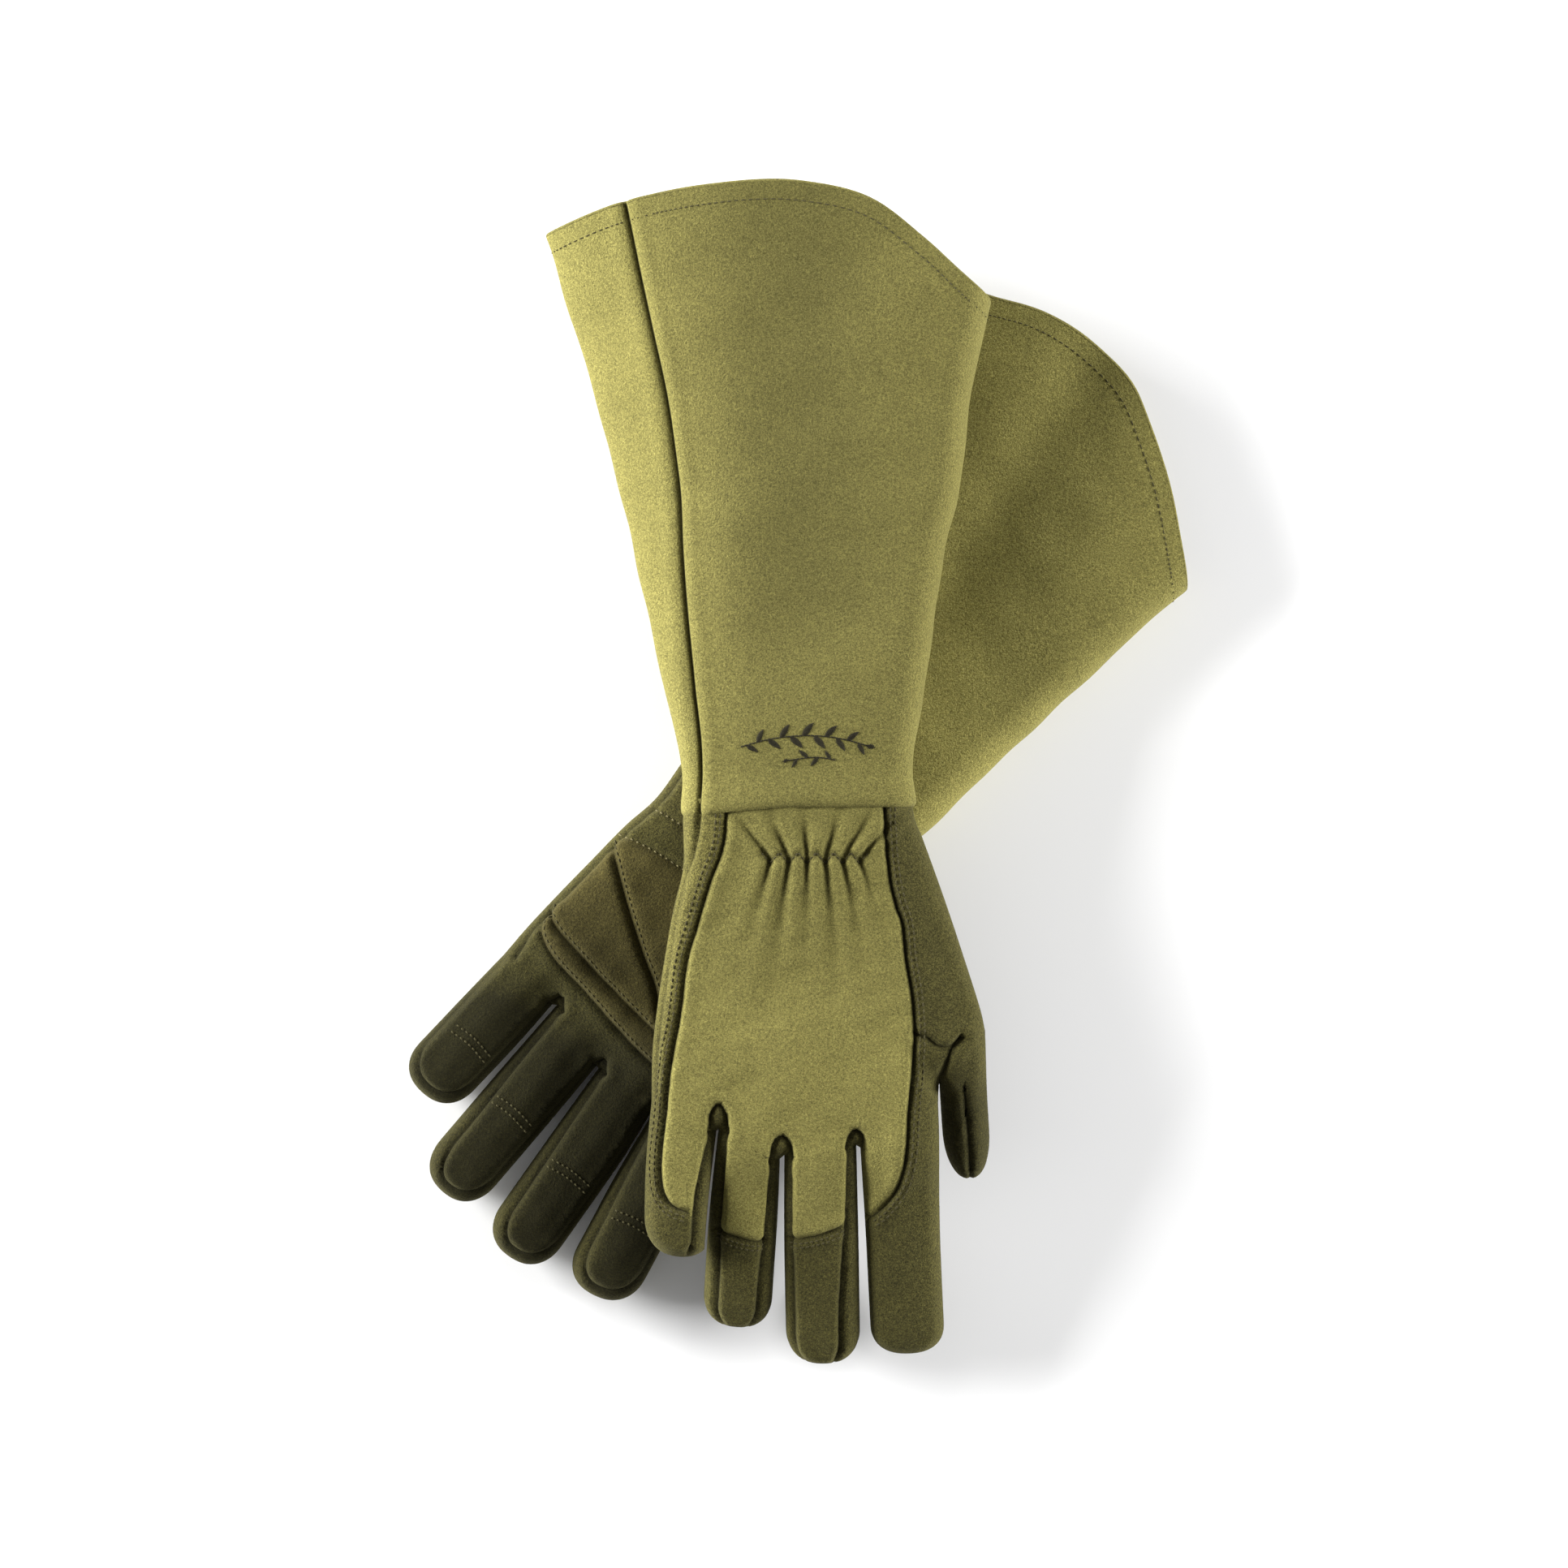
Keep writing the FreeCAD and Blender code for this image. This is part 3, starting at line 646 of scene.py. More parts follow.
# How far beside a stall's base line the hand gives with it, and how far along it the bend spreads.
DROOP_HOLD = 9.0
DROOP_REACH = 20.0


def droop(points, flat, side, plan):
    """Lets the stalls hang from the knuckles. points are 3D in the glove frame, flat their plan."""
    points = points.copy()
    aside = []
    for finger in FINGERS:
        shape = plan["shapes"][finger]
        own = inside(flat, shape) | (gap_to(flat, [shape]) < 0.05)
        aside.append(np.where(own, 0.0, gap_to(flat, [plan["bases"][finger]])))
    nearest = np.argmin(aside, axis=0)
    for place_in_row, finger in enumerate(FINGERS):
        stall = STALLS[side][finger]
        if not stall["droop"]:
            continue
        local = glove_to_stall(stall, flat)
        along = -local[:, 1]
        mine = (nearest == place_in_row) & (along > 0) & (aside[place_in_row] < DROOP_HOLD)
        hold = 1 - smoothstep(aside[place_in_row] / DROOP_HOLD)
        bend = np.radians(stall["droop"]) * smoothstep(along / DROOP_REACH) * hold
        place = glove_to_stall(stall, points[:, :2])
        y, z = place[:, 1], points[:, 2] - PAD_DEPTH
        moved_y = y * np.cos(bend) - z * np.sin(bend)
        moved_z = y * np.sin(bend) + z * np.cos(bend)
        back = stall_to_glove(stall, np.column_stack((place[:, 0], moved_y)))
        points[mine, :2] = back[mine]
        points[mine, 2] = moved_z[mine] + PAD_DEPTH
    return points


def to_row(points, side):
    """From the glove frame to the row frame, still in mm."""
    glove = GLOVES[side]
    lift = STACK_LIFT if side == "right" else 0.0
    flat = turned(points[:, :2], glove["turn"]) + (glove["x"], glove["y"])
    return np.column_stack((flat, points[:, 2] + lift))


def middle_level(side):
    """The height of a glove's middle plane above its lowest point; the upper one lies on its pads."""
    return HAND_DEPTH / 2 + (PAD_DEPTH if side == "right" else 0.0)


# ---------------------------------------------------------------- meshes


def link_new(name, data):
    holder = bpy.data.objects.new(name, data)
    bpy.context.scene.collection.objects.link(holder)
    return holder


def new_mesh(name, verts, faces, slot, finish=None, normals=None, shade=None):
    """A mesh object from points in mm, in its slot's material or in another finish.

    normals, one per face corner, keep the shading even where panels are cut apart. shade, one per
    point, is how much painted shade darkens its material there; below zero it is painted light."""
    mesh = bpy.data.meshes.new(name)
    mesh.from_pydata((np.asarray(verts) * MM).tolist(), [], [list(map(int, f)) for f in faces])
    mesh.update()
    mesh.polygons.foreach_set("use_smooth", [True] * len(mesh.polygons))
    if normals is not None:
        mesh.normals_split_custom_set(normals)
    if shade is not None:
        layer = mesh.attributes.new("shade", "FLOAT", "POINT")
        layer.data.foreach_set("value", np.asarray(shade, np.float32))
    piece = link_new(name, mesh)
    mesh.materials.append(MATERIALS[finish or slot])
    return piece


def solid_panel(name, outer, inner, normals, faces, slot, shade):
    """A panel of cloth: its outside, its inside, and the cut edge between them."""
    used = np.unique(faces)
    place = np.full(len(outer), -1)
    place[used] = np.arange(len(used))
    tris = place[faces]
    count = len(used)
    edges = {edge: True for a, b, c in tris for edge in ((a, b), (b, c), (c, a))}
    rim = [(a, b) for a, b in edges if (b, a) not in edges]
    verts = np.vstack((outer[used], inner[used]))
    polygons = [tuple(t) for t in tris] + [(c + count, b + count, a + count) for a, b, c in tris]
    corner = [tuple(normals[used[v]]) for t in tris for v in t]
    corner += [tuple(-normals[used[v]]) for t in tris for v in t[::-1]]
    for a, b in rim:
        quad = (b, a, a + count, b + count)
        polygons.append(quad)
        p = verts[list(quad)]
        face = np.cross(p[2] - p[0], p[3] - p[1])
        face = face / max(np.linalg.norm(face), 1e-12)
        corner += [tuple(face)] * 4
    return new_mesh(name, verts, polygons, slot, None, corner, np.tile(shade[used], 2))


def thread_mesh(name, stitches, slot, finish, radius=THREAD_RADIUS):
    """Stitches as short rounded lengths of thread, each rising a little in its middle.

    stitches lists (start, end, direction out of the cloth)."""
    sides = THREAD_SIDES
    verts, faces = [], []
    for a, b, n in stitches:
        along = b - a
        size = np.linalg.norm(along)
        if size < SHORTEST_STITCH:
            continue
        t = along / size
        side = np.cross(n, t)
        side /= max(np.linalg.norm(side), 1e-9)
        up = np.cross(t, side)
        base = len(verts)
        for where, rise, wide in THREAD_STATIONS:
            centre = a + along * where + up * rise * radius * 1.3
            for i in range(sides):
                angle = 2 * math.pi * i / sides
                verts.append(centre + radius * wide * (side * math.cos(angle) + up * math.sin(angle)))
        for ring in range(len(THREAD_STATIONS) - 1):
            for i in range(sides):
                j = (i + 1) % sides
                first = base + ring * sides
                faces.append((first + i, first + j, first + sides + j, first + sides + i))
        faces.append(tuple(base + i for i in reversed(range(sides))))
        last = base + (len(THREAD_STATIONS) - 1) * sides
        faces.append(tuple(last + i for i in range(sides)))
    return new_mesh(name, np.array(verts), faces, slot, finish)


# ---------------------------------------------------------------- materials

MATERIALS = {}
# How much paler than the suede the ends of its nap are.
NAP_TIPS = (0.25, 0.235, 0.12)


def suede(name, colour, variation=1.0):
    """Short-napped suede: fine light and dark grain, broad mottling, a soft sheen and a felted bump."""
    material = bpy.data.materials.new(name)
    material.use_nodes = True
    nodes, links = material.node_tree.nodes, material.node_tree.links
    shader = nodes["Principled BSDF"]
    shader.inputs["Roughness"].default_value = 0.95
    shader.inputs["Specular IOR Level"].default_value = 0.12
    shader.inputs["Sheen Weight"].default_value = 0.4
    shader.inputs["Sheen Roughness"].default_value = 0.55
    tip = [min(1.0, base * 1.6 + paler) for base, paler in zip(colour, NAP_TIPS)]
    shader.inputs["Sheen Tint"].default_value = (*tip, 1)
    place = nodes.new("ShaderNodeTexCoord")

    def noise(scale, detail, rough):
        node = nodes.new("ShaderNodeTexNoise")
        node.inputs["Scale"].default_value = scale
        node.inputs["Detail"].default_value = detail
        node.inputs["Roughness"].default_value = rough
        links.new(place.outputs["Object"], node.inputs["Vector"])
        return node

    def ramp(source, low, high, swing):
        """The noise from low to high as a factor that swings about one."""
        node = nodes.new("ShaderNodeMapRange")
        node.inputs["From Min"].default_value = low
        node.inputs["From Max"].default_value = high
        node.inputs["To Min"].default_value = 1 - swing * variation
        node.inputs["To Max"].default_value = 1 + swing * variation
        links.new(source.outputs["Fac"], node.inputs["Value"])
        return node

    def math_node(operation):
        node = nodes.new("ShaderNodeMath")
        node.operation = operation
        return node

    grain = noise(1050.0, 3.0, 0.7)
    fuzz = noise(2300.0, 2.0, 0.6)
    mottle = noise(52.0, 3.0, 0.6)
    brushed = noise(170.0, 2.0, 0.55)
    values = (
        ramp(grain, 0.32, 0.68, 0.34),
        ramp(fuzz, 0.3, 0.7, 0.5),
        ramp(mottle, 0.3, 0.7, 0.05),
        ramp(brushed, 0.3, 0.7, 0.03),
    )
    # the shade attribute: painted shade darkens the colour, and painted light, below zero, brightens it
    shade = nodes.new("ShaderNodeAttribute")
    shade.attribute_name = "shade"
    lit = math_node("SUBTRACT")
    lit.inputs[0].default_value = 1.0
    links.new(shade.outputs["Fac"], lit.inputs[1])
    last = lit.outputs["Value"]
    for value in values:
        times = math_node("MULTIPLY")
        links.new(last, times.inputs[0])
        links.new(value.outputs["Result"], times.inputs[1])
        last = times.outputs["Value"]
    tint = nodes.new("ShaderNodeVectorMath")
    tint.operation = "SCALE"
    tint.inputs[0].default_value = colour
    links.new(last, tint.inputs["Scale"])
    links.new(tint.outputs["Vector"], shader.inputs["Base Color"])
    height = math_node("MULTIPLY_ADD")
    height.inputs[1].default_value = 0.6
    links.new(fuzz.outputs["Fac"], height.inputs[0])
    links.new(grain.outputs["Fac"], height.inputs[2])
    bump = nodes.new("ShaderNodeBump")
    bump.inputs["Strength"].default_value = 0.8
    bump.inputs["Distance"].default_value = 0.0006
    links.new(height.outputs["Value"], bump.inputs["Height"])
    links.new(bump.outputs["Normal"], shader.inputs["Normal"])
    MATERIALS[name] = material


suede("light_suede", (0.140, 0.1255, 0.036))
suede("dark_suede", (0.050, 0.0445, 0.0122), 1.5)
suede("pad_suede", (0.059, 0.0485, 0.0135), 1.2)
# The dark stitching thread: the stitches are real, and their dark colour also stands in for painted
# shade in the stitch holes.
suede("thread", (0.050, 0.044, 0.020), 0.4)
suede("pale_thread", (0.150, 0.130, 0.062), 0.4)
suede("leaf_thread", (0.016, 0.014, 0.009), 0.4)


# ---------------------------------------------------------------- the hands

PALE_BACKS = ("back_panel", "little_back", "ring_back", "middle_back", "index_back_pale")
# The slots of the panels that are not of dark suede.
SLOTS = {**dict.fromkeys(PALE_BACKS, "light_suede"), **dict.fromkeys(PAD_PANELS, "pad_suede")}
# How far apart along a stall the two ends lie that attach works out; nothing is bent by them.
BEND_REACH = 26.0
# How much painted shade darkens the bottom of a crease.
CREASE_SHADE = 0.78
# Painted light and, for the thumb, painted shade: how much lighter or darker these panels are coloured.
STRIP_PAINTED_LIGHT = 1.6
BACK_PAINTED_LIGHT = 0.22
THUMB_PAINTED_SHADE = 0.5
CUFF_PAINTED_LIGHT = {"right": 0.38, "left": 0.3}


def beyond(centres, line, corners):
    """Which points lie between a seam and the corners of a rough shape drawn on one side of it."""
    return inside(centres, np.vstack((line, corners)))


def name_crotches(names, hand, centres, seams, below):
    for first, _ in NEIGHBOURS:
        line = seams[f"{first}_crotch"]
        corners = [line[-1] - (0, below), line[0] - (0, below)]
        names[hand & beyond(centres, line, corners)] = "crotch"


def name_back(names, owner, centres, side, seams):
    """The panels of the back."""
    stalls = STALLS[side]
    outer, inner = seams["back_outer"], seams["back_inner"]
    front = stall_to_glove(stalls["middle"], [(0.0, -80.0)])
    around = np.vstack((outer, front, inner[::-1]))
    pale = beyond(centres, around, [(inner[0][0], 5.0), (outer[0][0], 5.0)])
    hand = owner == "hand"
    names[hand] = "thumb_gusset"
    names[hand & (centres[:, 0] < 0)] = "side_strip"
    if side == "right":
        web = np.vstack((seams["thumb_notch"], seams["thumb_web"]))
        gusset = beyond(centres, web, [(54.0, -130.0), (20.0, -130.0), (20.0, -85.0)])
    else:
        gusset = centres[:, 1] < -68
    names[hand & (centres[:, 0] > 20) & gusset] = "index_gusset"
    names[hand & pale] = "back_panel"
    name_crotches(names, hand, centres, seams, 4)
    for finger in FINGERS:
        stall = stalls[finger]
        mine = owner == finger
        far = glove_to_stall(stall, centres)[:, 1].min()
        walls = {sign: stall_to_glove(stall, [(30.0 * sign, far), (30.0 * sign, 0.0)])
                 for sign in (-1, 1)}
        if finger in TIP_CAPS:
            core = beyond(centres, seams[f"{finger}_outer"], seams[f"{finger}_inner"][::-1])
            reach = 2 * stall["length"]
            tip = stall_to_glove(stall, [(reach, far), (-reach, far)])
            names[mine] = f"{finger}_forchette"
            names[mine & core] = f"{finger}_back"
            names[mine & core & beyond(centres, seams[f"{finger}_cap"], tip)] = f"{finger}_tip_cap"
        elif finger == "little":
            names[mine] = "little_tip_cap"
            names[mine & pale] = "little_back"
            names[mine & beyond(centres, seams["little_inner"], walls[1])] = "little_forchette"
        elif finger == "index":
            names[mine] = "index_back"
            names[mine & pale] = "index_back_pale"
        else:
            names[mine] = "thumb_back"
            names[mine & beyond(centres, seams["thumb_outer"], walls[-1])] = "thumb_forchette"


def name_palm(names, owner, centres, seams):
    """The panels of the palm."""
    wrist = [(38.0, 20.0), (-90.0, 20.0)]
    hand = owner == "hand"
    names[hand] = "palm_panel"
    in_top = beyond(centres, seams["knuckle_top"], wrist)
    in_low = beyond(centres, seams["knuckle_low"], wrist)
    padded = hand & ~beyond(centres, seams["row_two"], [(90.0, 20.0), (-90.0, 20.0)])
    padded &= ~beyond(centres, seams["palm_inner"], [(120.0, -100.0), (120.0, -10.0)])
    above = beyond(centres, seams["heel"], [(120.0, -92.0), (120.0, 20.0), (-90.0, 20.0)])
    names[padded & in_low & ~in_top] = "knuckle_pad"
    names[padded & in_top & above] = "inner_heel_pad"
    names[padded & in_top & ~above] = "outer_heel_pad"
    strip = beyond(centres, seams["strip"], [(-120.0, -108.0), (-120.0, 0.0)])
    names[hand & strip] = "side_strip"
    name_crotches(names, hand, centres, seams, 3)
    for finger in FINGERS:
        mine = owner == finger
        names[mine] = f"{finger}_forchette"
        names[mine & inside(centres, seams[f"{finger}_palm"])] = f"{finger}_palm"


def panel_names(side, kind, centres, plan, seams):
    """The panel and the finger that each triangle belongs to, from where its middle lies."""
    names = np.full(len(centres), "", dtype="<U40")
    in_hand = inside(centres, plan["shapes"]["hand"])
    owner = np.full(len(centres), "hand", dtype="<U8")
    for finger in FINGERS:
        owner[inside(centres, plan["shapes"][finger]) & ~in_hand] = finger
    if kind == "dorsal":
        name_back(names, owner, centres, side, seams)
    else:
        name_palm(names, owner, centres, seams)
    return names, owner


def back_painted_light_and_shade(sheet, side):
    """Painted light and shade on the back, as a factor on each point's colour: the side strip lighter
    towards the wrist, the thumb darker beyond its base, the pale panels lighter towards the fingers.
    """
    points = sheet["points"]
    kept = np.ones(len(points))
    strip = np.unique(sheet["faces"][sheet["names"] == "side_strip"])
    kept[strip] *= 1 + STRIP_PAINTED_LIGHT * smoothstep((points[strip, 1] + 125.0) / 95.0)
    along = -glove_to_stall(STALLS[side]["thumb"], points)[:, 1]
    thumb = np.unique(sheet["faces"][sheet["owner"] == "thumb"])
    kept[thumb] *= 1 - THUMB_PAINTED_SHADE * smoothstep(along[thumb] / 25.0)
    low = np.unique(sheet["faces"][np.isin(sheet["names"], PALE_BACKS)])
    kept[low] *= 1 + BACK_PAINTED_LIGHT * smoothstep((-points[low, 1] - 45.0) / 40.0)
    return kept


def build_hand(side):
    """Both sheets of a hand as one closed form, and its panels, named."""
    plan = layout(side)
    middle = middle_level(side)
    sheets, shared = {}, {}
    bases, flats = [], []
    count = 0
    for kind in ("dorsal", "palmar"):
        seams = back_lines(side) if kind == "dorsal" else palm_lines(side)
        points, faces, rim_ids = cut_sheet(plan, seams, kind == "dorsal" and side == "right")
        gap = gap_to(points, plan["free"])
        depth = relax(puff(gap), faces, gap > 5.0, 8)
        upward = 1.0 if GLOVES[side]["up"] == kind else -1.0
        solid = np.column_stack((points, middle + upward * depth))
        solid[list(rim_ids), 2] = middle
        names, owner = panel_names(side, kind, points[faces].mean(1), plan, seams)
        if upward < 0:
            faces = faces[:, ::-1]
        # the second sheet takes the rim of the first
        known = [i for i in rim_ids if rim_ids[i] in shared]
        keep = np.setdiff1d(np.arange(len(points)), known)
        index = np.zeros(len(points), int)
        index[keep] = np.arange(len(keep)) + count
        index[known] = [shared[rim_ids[i]] for i in known]
        if not shared:
            shared = {source: index[i] for i, source in rim_ids.items()}
        sheets[kind] = {"points": points, "faces": faces, "index": index, "seams": seams,
                        "names": names, "owner": owner, "gap": gap}
        bases.append(solid[keep])
        flats.append(points[keep])
        count += len(keep)
    base = np.vstack(bases)
    faces = np.vstack([sheet["index"][sheet["faces"]] for sheet in sheets.values()])
    normals = vertex_normals(base, faces)
    push = np.zeros(len(base))
    shade = np.full(len(base), -1.0)
    for kind, sheet in sheets.items():
        bumps, crease = relief(sheet["points"], sheet["gap"], sheet["seams"], kind, side)
        # painted shade at the bottoms of creases, then the palm's painted shade and the back's painted
        # light and shade
        kept = 1 - CREASE_SHADE * crease
        if kind == "palmar":
            bumps += pad_rise(sheet)
            kept *= 1 - palm_painted_shade_and_tone(sheet["points"], side)
        else:
            kept *= back_painted_light_and_shade(sheet, side)
        edge = smoothstep(sheet["gap"] / 1.2)
        push[sheet["index"]] += bumps * np.where(sheet["gap"] < 1e-6, 0.0, edge)
        shade[sheet["index"]] = np.maximum(shade[sheet["index"]], 1 - kept)
    shaped = base + normals * push[:, None]
    outer = to_row(droop(shaped, np.vstack(flats), side, plan), side)
    outer[:, 2] = np.maximum(outer[:, 2], REST_CLEAR)
    return {"outer": outer, "normals": vertex_normals(outer, faces), "faces": faces, "shade": shade,
            "names": np.concatenate([sheet["names"] for sheet in sheets.values()]),
            "owner": np.concatenate([sheet["owner"] for sheet in sheets.values()]),
            "sheets": sheets, "plan": plan}


def palm_painted_shade_and_tone(points, side):
    """Painted shade on the palm's side: darker from the heel down towards the fingers, lighter again at
    the fingertips, with a little random tone; the side of each stall towards the thumb is darker still.
    """
    reach = -points[:, 1] + 0.25 * (points[:, 0] + 20.0)
    heel_to_finger_shade = 0.32 * smoothstep((reach - 35.0) / 60.0) + 0.42 * smoothstep((reach - 88.0) / 40.0)
    lighter_tips_and_tone = 0.25 * smoothstep((reach - 140.0) / 40.0) + 0.06 * ripples(points, 40.0, 77)
    thumb_side_shade = np.zeros(len(points))
    for finger in FINGERS:
        stall = STALLS[side][finger]
        local = glove_to_stall(stall, points)
        share = local[:, 0] / stall["full"]
        near = smoothstep((1.0 - np.abs(share)) / 0.25) * smoothstep((-local[:, 1] - 2.0) / 24.0)
        # painted shade: the side towards the thumb is coloured darker, as if turned away from the light
        thumb_side_shade = np.maximum(thumb_side_shade, 0.34 * near * smoothstep((share + 0.95) / 0.8))
    return np.clip(heel_to_finger_shade - lighter_tips_and_tone + thumb_side_shade, 0.0, 0.8)


def pad_rise(sheet):
    """The thin padding behind the quilted palm panels."""
    rise = np.zeros(len(sheet["points"]))
    lines = [line for name, line in sheet["seams"].items() if not name.endswith("_palm")]
    gap = np.minimum(gap_to(sheet["points"], lines), sheet["gap"])
    padded = np.zeros(len(rise), bool)
    padded[np.unique(sheet["faces"][np.isin(sheet["names"], PAD_PANELS)])] = True
    rise[padded] = PAD_RISE * np.sin(np.clip(gap[padded] / 7.0, 0, 1) * math.pi / 2)
    return rise


def surface_finder(hand, kind):
    """A function that lifts points of the plan onto the outside of one sheet."""
    sheet = hand["sheets"][kind]
    flat = np.column_stack((sheet["points"], np.zeros(len(sheet["points"]))))
    tree = BVHTree.FromPolygons(flat.tolist(), sheet["faces"].tolist())

    def lift(points):
        places, normals, owners = [], [], []
        for x, y in points:
            spot, _, face, _ = tree.find_nearest((x, y, 0.0))
            corners = sheet["faces"][face]
            a, b, c = sheet["points"][corners]
            matrix = np.array(((b[0] - a[0], c[0] - a[0]), (b[1] - a[1], c[1] - a[1])))
            u, v = np.linalg.solve(matrix, np.array((spot[0] - a[0], spot[1] - a[1])))
            weights = np.array((1 - u - v, u, v))
            ids = sheet["index"][corners]
            places.append(weights @ hand["outer"][ids])
            normal = weights @ hand["normals"][ids]
            normals.append(normal / np.linalg.norm(normal))
            owners.append(sheet["owner"][face])
        return np.array(places), np.array(normals), owners

    return lift


def stitch_row(lift, plan, line, store, pitch=STITCH_PITCH, length=STITCH_LENGTH):
    """A row of stitches along a line of the plan, sorted by the body that each lies on."""
    line = resample(line, pitch)
    along = np.diff(line, axis=0)
    size = np.maximum(np.hypot(along[:, 0], along[:, 1]), 1e-9)[:, None]
    middle = (line[:-1] + line[1:]) / 2
    start = middle - along / size * length / 2
    end = middle + along / size * length / 2
    good = within(middle, plan) & (gap_to(middle, plan["free"]) > 0.6)
    start, end = start[good], end[good]
    if not len(start):
        return
    a, n, owners = lift(start)
    b, _, _ = lift(end)
    for i, owner in enumerate(owners):
        store.setdefault(owner, []).append((a[i], b[i], n[i]))


def body_name(side, owner):
    if owner == "hand" or (side == "left" and owner in ("index", "thumb")):
        return f"{side}_hand"
    return f"{side}_{owner}"


def attach(piece, side, owner):
    """A hand piece rides on the hand; a stall's piece stays where it was made, its transform applied to
    its mesh.
    """
    body = body_name(side, owner)
    hand = f"{side}_hand"
    if body == hand:
        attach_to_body(piece, hand)
        return
    stall = STALLS[side][owner]
    level = HAND_DEPTH if side == "left" else PAD_DEPTH
    root = max(stall["root"])
    ends = stall_to_glove(stall, [(0.0, -root), (0.0, -root - BEND_REACH)])
    ends = to_row(np.column_stack((ends, (level, level))), side) * MM
    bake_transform(piece)


def dress_hand(side):
    """The panels of a hand as pieces, and their stitching."""
    hand = build_hand(side)
    inner = hand["outer"] - hand["normals"] * CLOTH
    for name in np.unique(hand["names"]):
        mine = hand["names"] == name
        slot = SLOTS.get(name, "dark_suede")
        piece = solid_panel(f"{side}_{name}_suede", hand["outer"], inner, hand["normals"],
                            hand["faces"][mine], slot, hand["shade"])
        if f"{side}_{name}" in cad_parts:
            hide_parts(f"{side}_{name}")
        attach(piece, side, hand["owner"][mine][0])
    sew_hand(side, hand)


def sew_hand(side, hand):
    """The visible stitching of both sheets."""
    plan = hand["plan"]
    store, gathered, pale = {}, {}, {}
    back = surface_finder(hand, "dorsal")
    seams = hand["sheets"]["dorsal"]["seams"]
    for name, sign in (("back_outer", -1), ("back_inner", 1)):
        for offset in BACK_STITCHES:
            stitch_row(back, plan, offset_line(seams[name], sign * offset), store)
    for finger in TIP_CAPS:
        for offset in CAP_STITCHES:
            stitch_row(back, plan, offset_line(seams[f"{finger}_cap"], offset), store, 2.0, 1.4)
    zigzag = zigzag_line()
    for a, b in zip(zigzag, zigzag[1:]):
        stitch_row(back, plan, (a, b), gathered, 1.7, 1.35)
    piece = thread_mesh(f"{side}_wrist_elastic_stitching", gathered["hand"], "elastic", "thread")
    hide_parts(f"{side}_wrist_elastic")
    attach(piece, side, "hand")
    palm = surface_finder(hand, "palmar")
    seams = hand["sheets"]["palmar"]["seams"]
    for name in ("row_one", "row_two"):
        stitch_row(palm, plan, seams[name], pale, 2.6, 1.5)
    for name, offset in (("heel", 1.6), ("knuckle_top", 1.5), ("knuckle_low", 1.6)):
        stitch_row(palm, plan, offset_line(seams[name], offset), store)
    for finger, along in TIP_PATCH.items():
        stall = STALLS[side][finger]
        full = stall["full"]
        for y in (-along, -along - PATCH_ROW_GAP):
            across = smooth_line([(-0.62 * full, y - 1.0), (0.0, y), (0.7 * full, y - 1.4)])
            stitch_row(palm, plan, stall_to_glove(stall, across), store, 2.1, 1.4)
    for rows, name, finish in ((store, "stitches", "thread"), (pale, "pale_stitches", "pale_thread")):
        for owner, stitches in rows.items():
            piece = thread_mesh(f"{side}_{owner}_{name}", stitches, "dark_suede", finish)
            attach(piece, side, owner)


# ---------------------------------------------------------------- gauntlets

# The gauntlet's two edges and its side seam: (distance from the wrist, distance from the middle
# line or, for the seam, from the outer edge).
CUFF_OUTER = ((0.0, 43.0), (24.0, 45.2), (46.0, 50.2), (93.0, 62.4), (120.0, 68.2), (148.0, 75.3),
              (165.0, 80.1), (182.0, 85.8), (220.0, 97.4), (250.0, 106.0))
CUFF_INNER = {
    "right": ((0.0, 43.4), (21.0, 44.2), (41.0, 47.0), (70.0, 51.2), (100.0, 56.2), (130.0, 62.1),
              (167.0, 68.0), (192.0, 73.5), (250.0, 86.0)),
    "left": ((0.0, 43.4), (21.0, 45.6), (41.0, 48.8), (70.0, 53.2), (100.0, 58.4), (130.0, 63.4),
             (167.0, 68.4), (192.0, 73.5), (250.0, 86.0)),
}
SIDE_SEAM = ((0.0, 5.6), (20.0, 7.2), (42.0, 9.8), (65.0, 13.4), (100.0, 19.2), (153.0, 26.8),
             (200.0, 31.4), (235.0, 34.6))
# The mouth's edge: (share across from the little finger's side, distance from the wrist).
MOUTH = {
    "right": ((0.0, 219.8), (0.17, 228.8), (0.36, 234.6), (0.56, 235.4), (0.70, 229.0),
              (0.82, 214.2), (0.94, 198.0), (1.0, 192.0)),
    "left": ((0.0, 198.0), (0.25, 210.0), (0.36, 217.0), (0.50, 218.8), (0.60, 214.6),
             (0.67, 207.2), (0.78, 194.2), (0.94, 173.0), (1.0, 165.5)),
}
CUFF_DEPTH = {
    "right": ((0.0, 11.5), (120.0, 14.0), (240.0, 16.0)),
    "left": ((0.0, 11.5), (110.0, 12.0), (215.0, 12.0)),
}
CUFF_LENGTH = 225.0
# The width of the edge on the thumb's side, where the gauntlet is rolled round.
CUFF_EDGE_ROLL = 13.0
# How far the right gauntlet's outer edge has sunk, and the hollow along its middle.
CUFF_SAG = {"right": 19.0, "left": 0.0}
CUFF_HOLLOW = 1.3
# The gauntlet laps over the hand at the wrist.
CUFF_LAP = 1.6
CUFF_LAP_REACH = 16.0
WRIST_TILT = (-2.6, 0.8)
# The left gauntlet reaches its width sooner.
CUFF_SHARE = {"right": 1.0, "left": 0.9}
HEM_WIDTH = 7.0
HEM_RADIUS = 1.25
HEM_INSETS = (1.5, 3.5, 5.5, HEM_WIDTH)
HEM_STITCH_INSET = 6.5
HEM_THREAD = 0.22
SPRIG_THREAD = 0.27
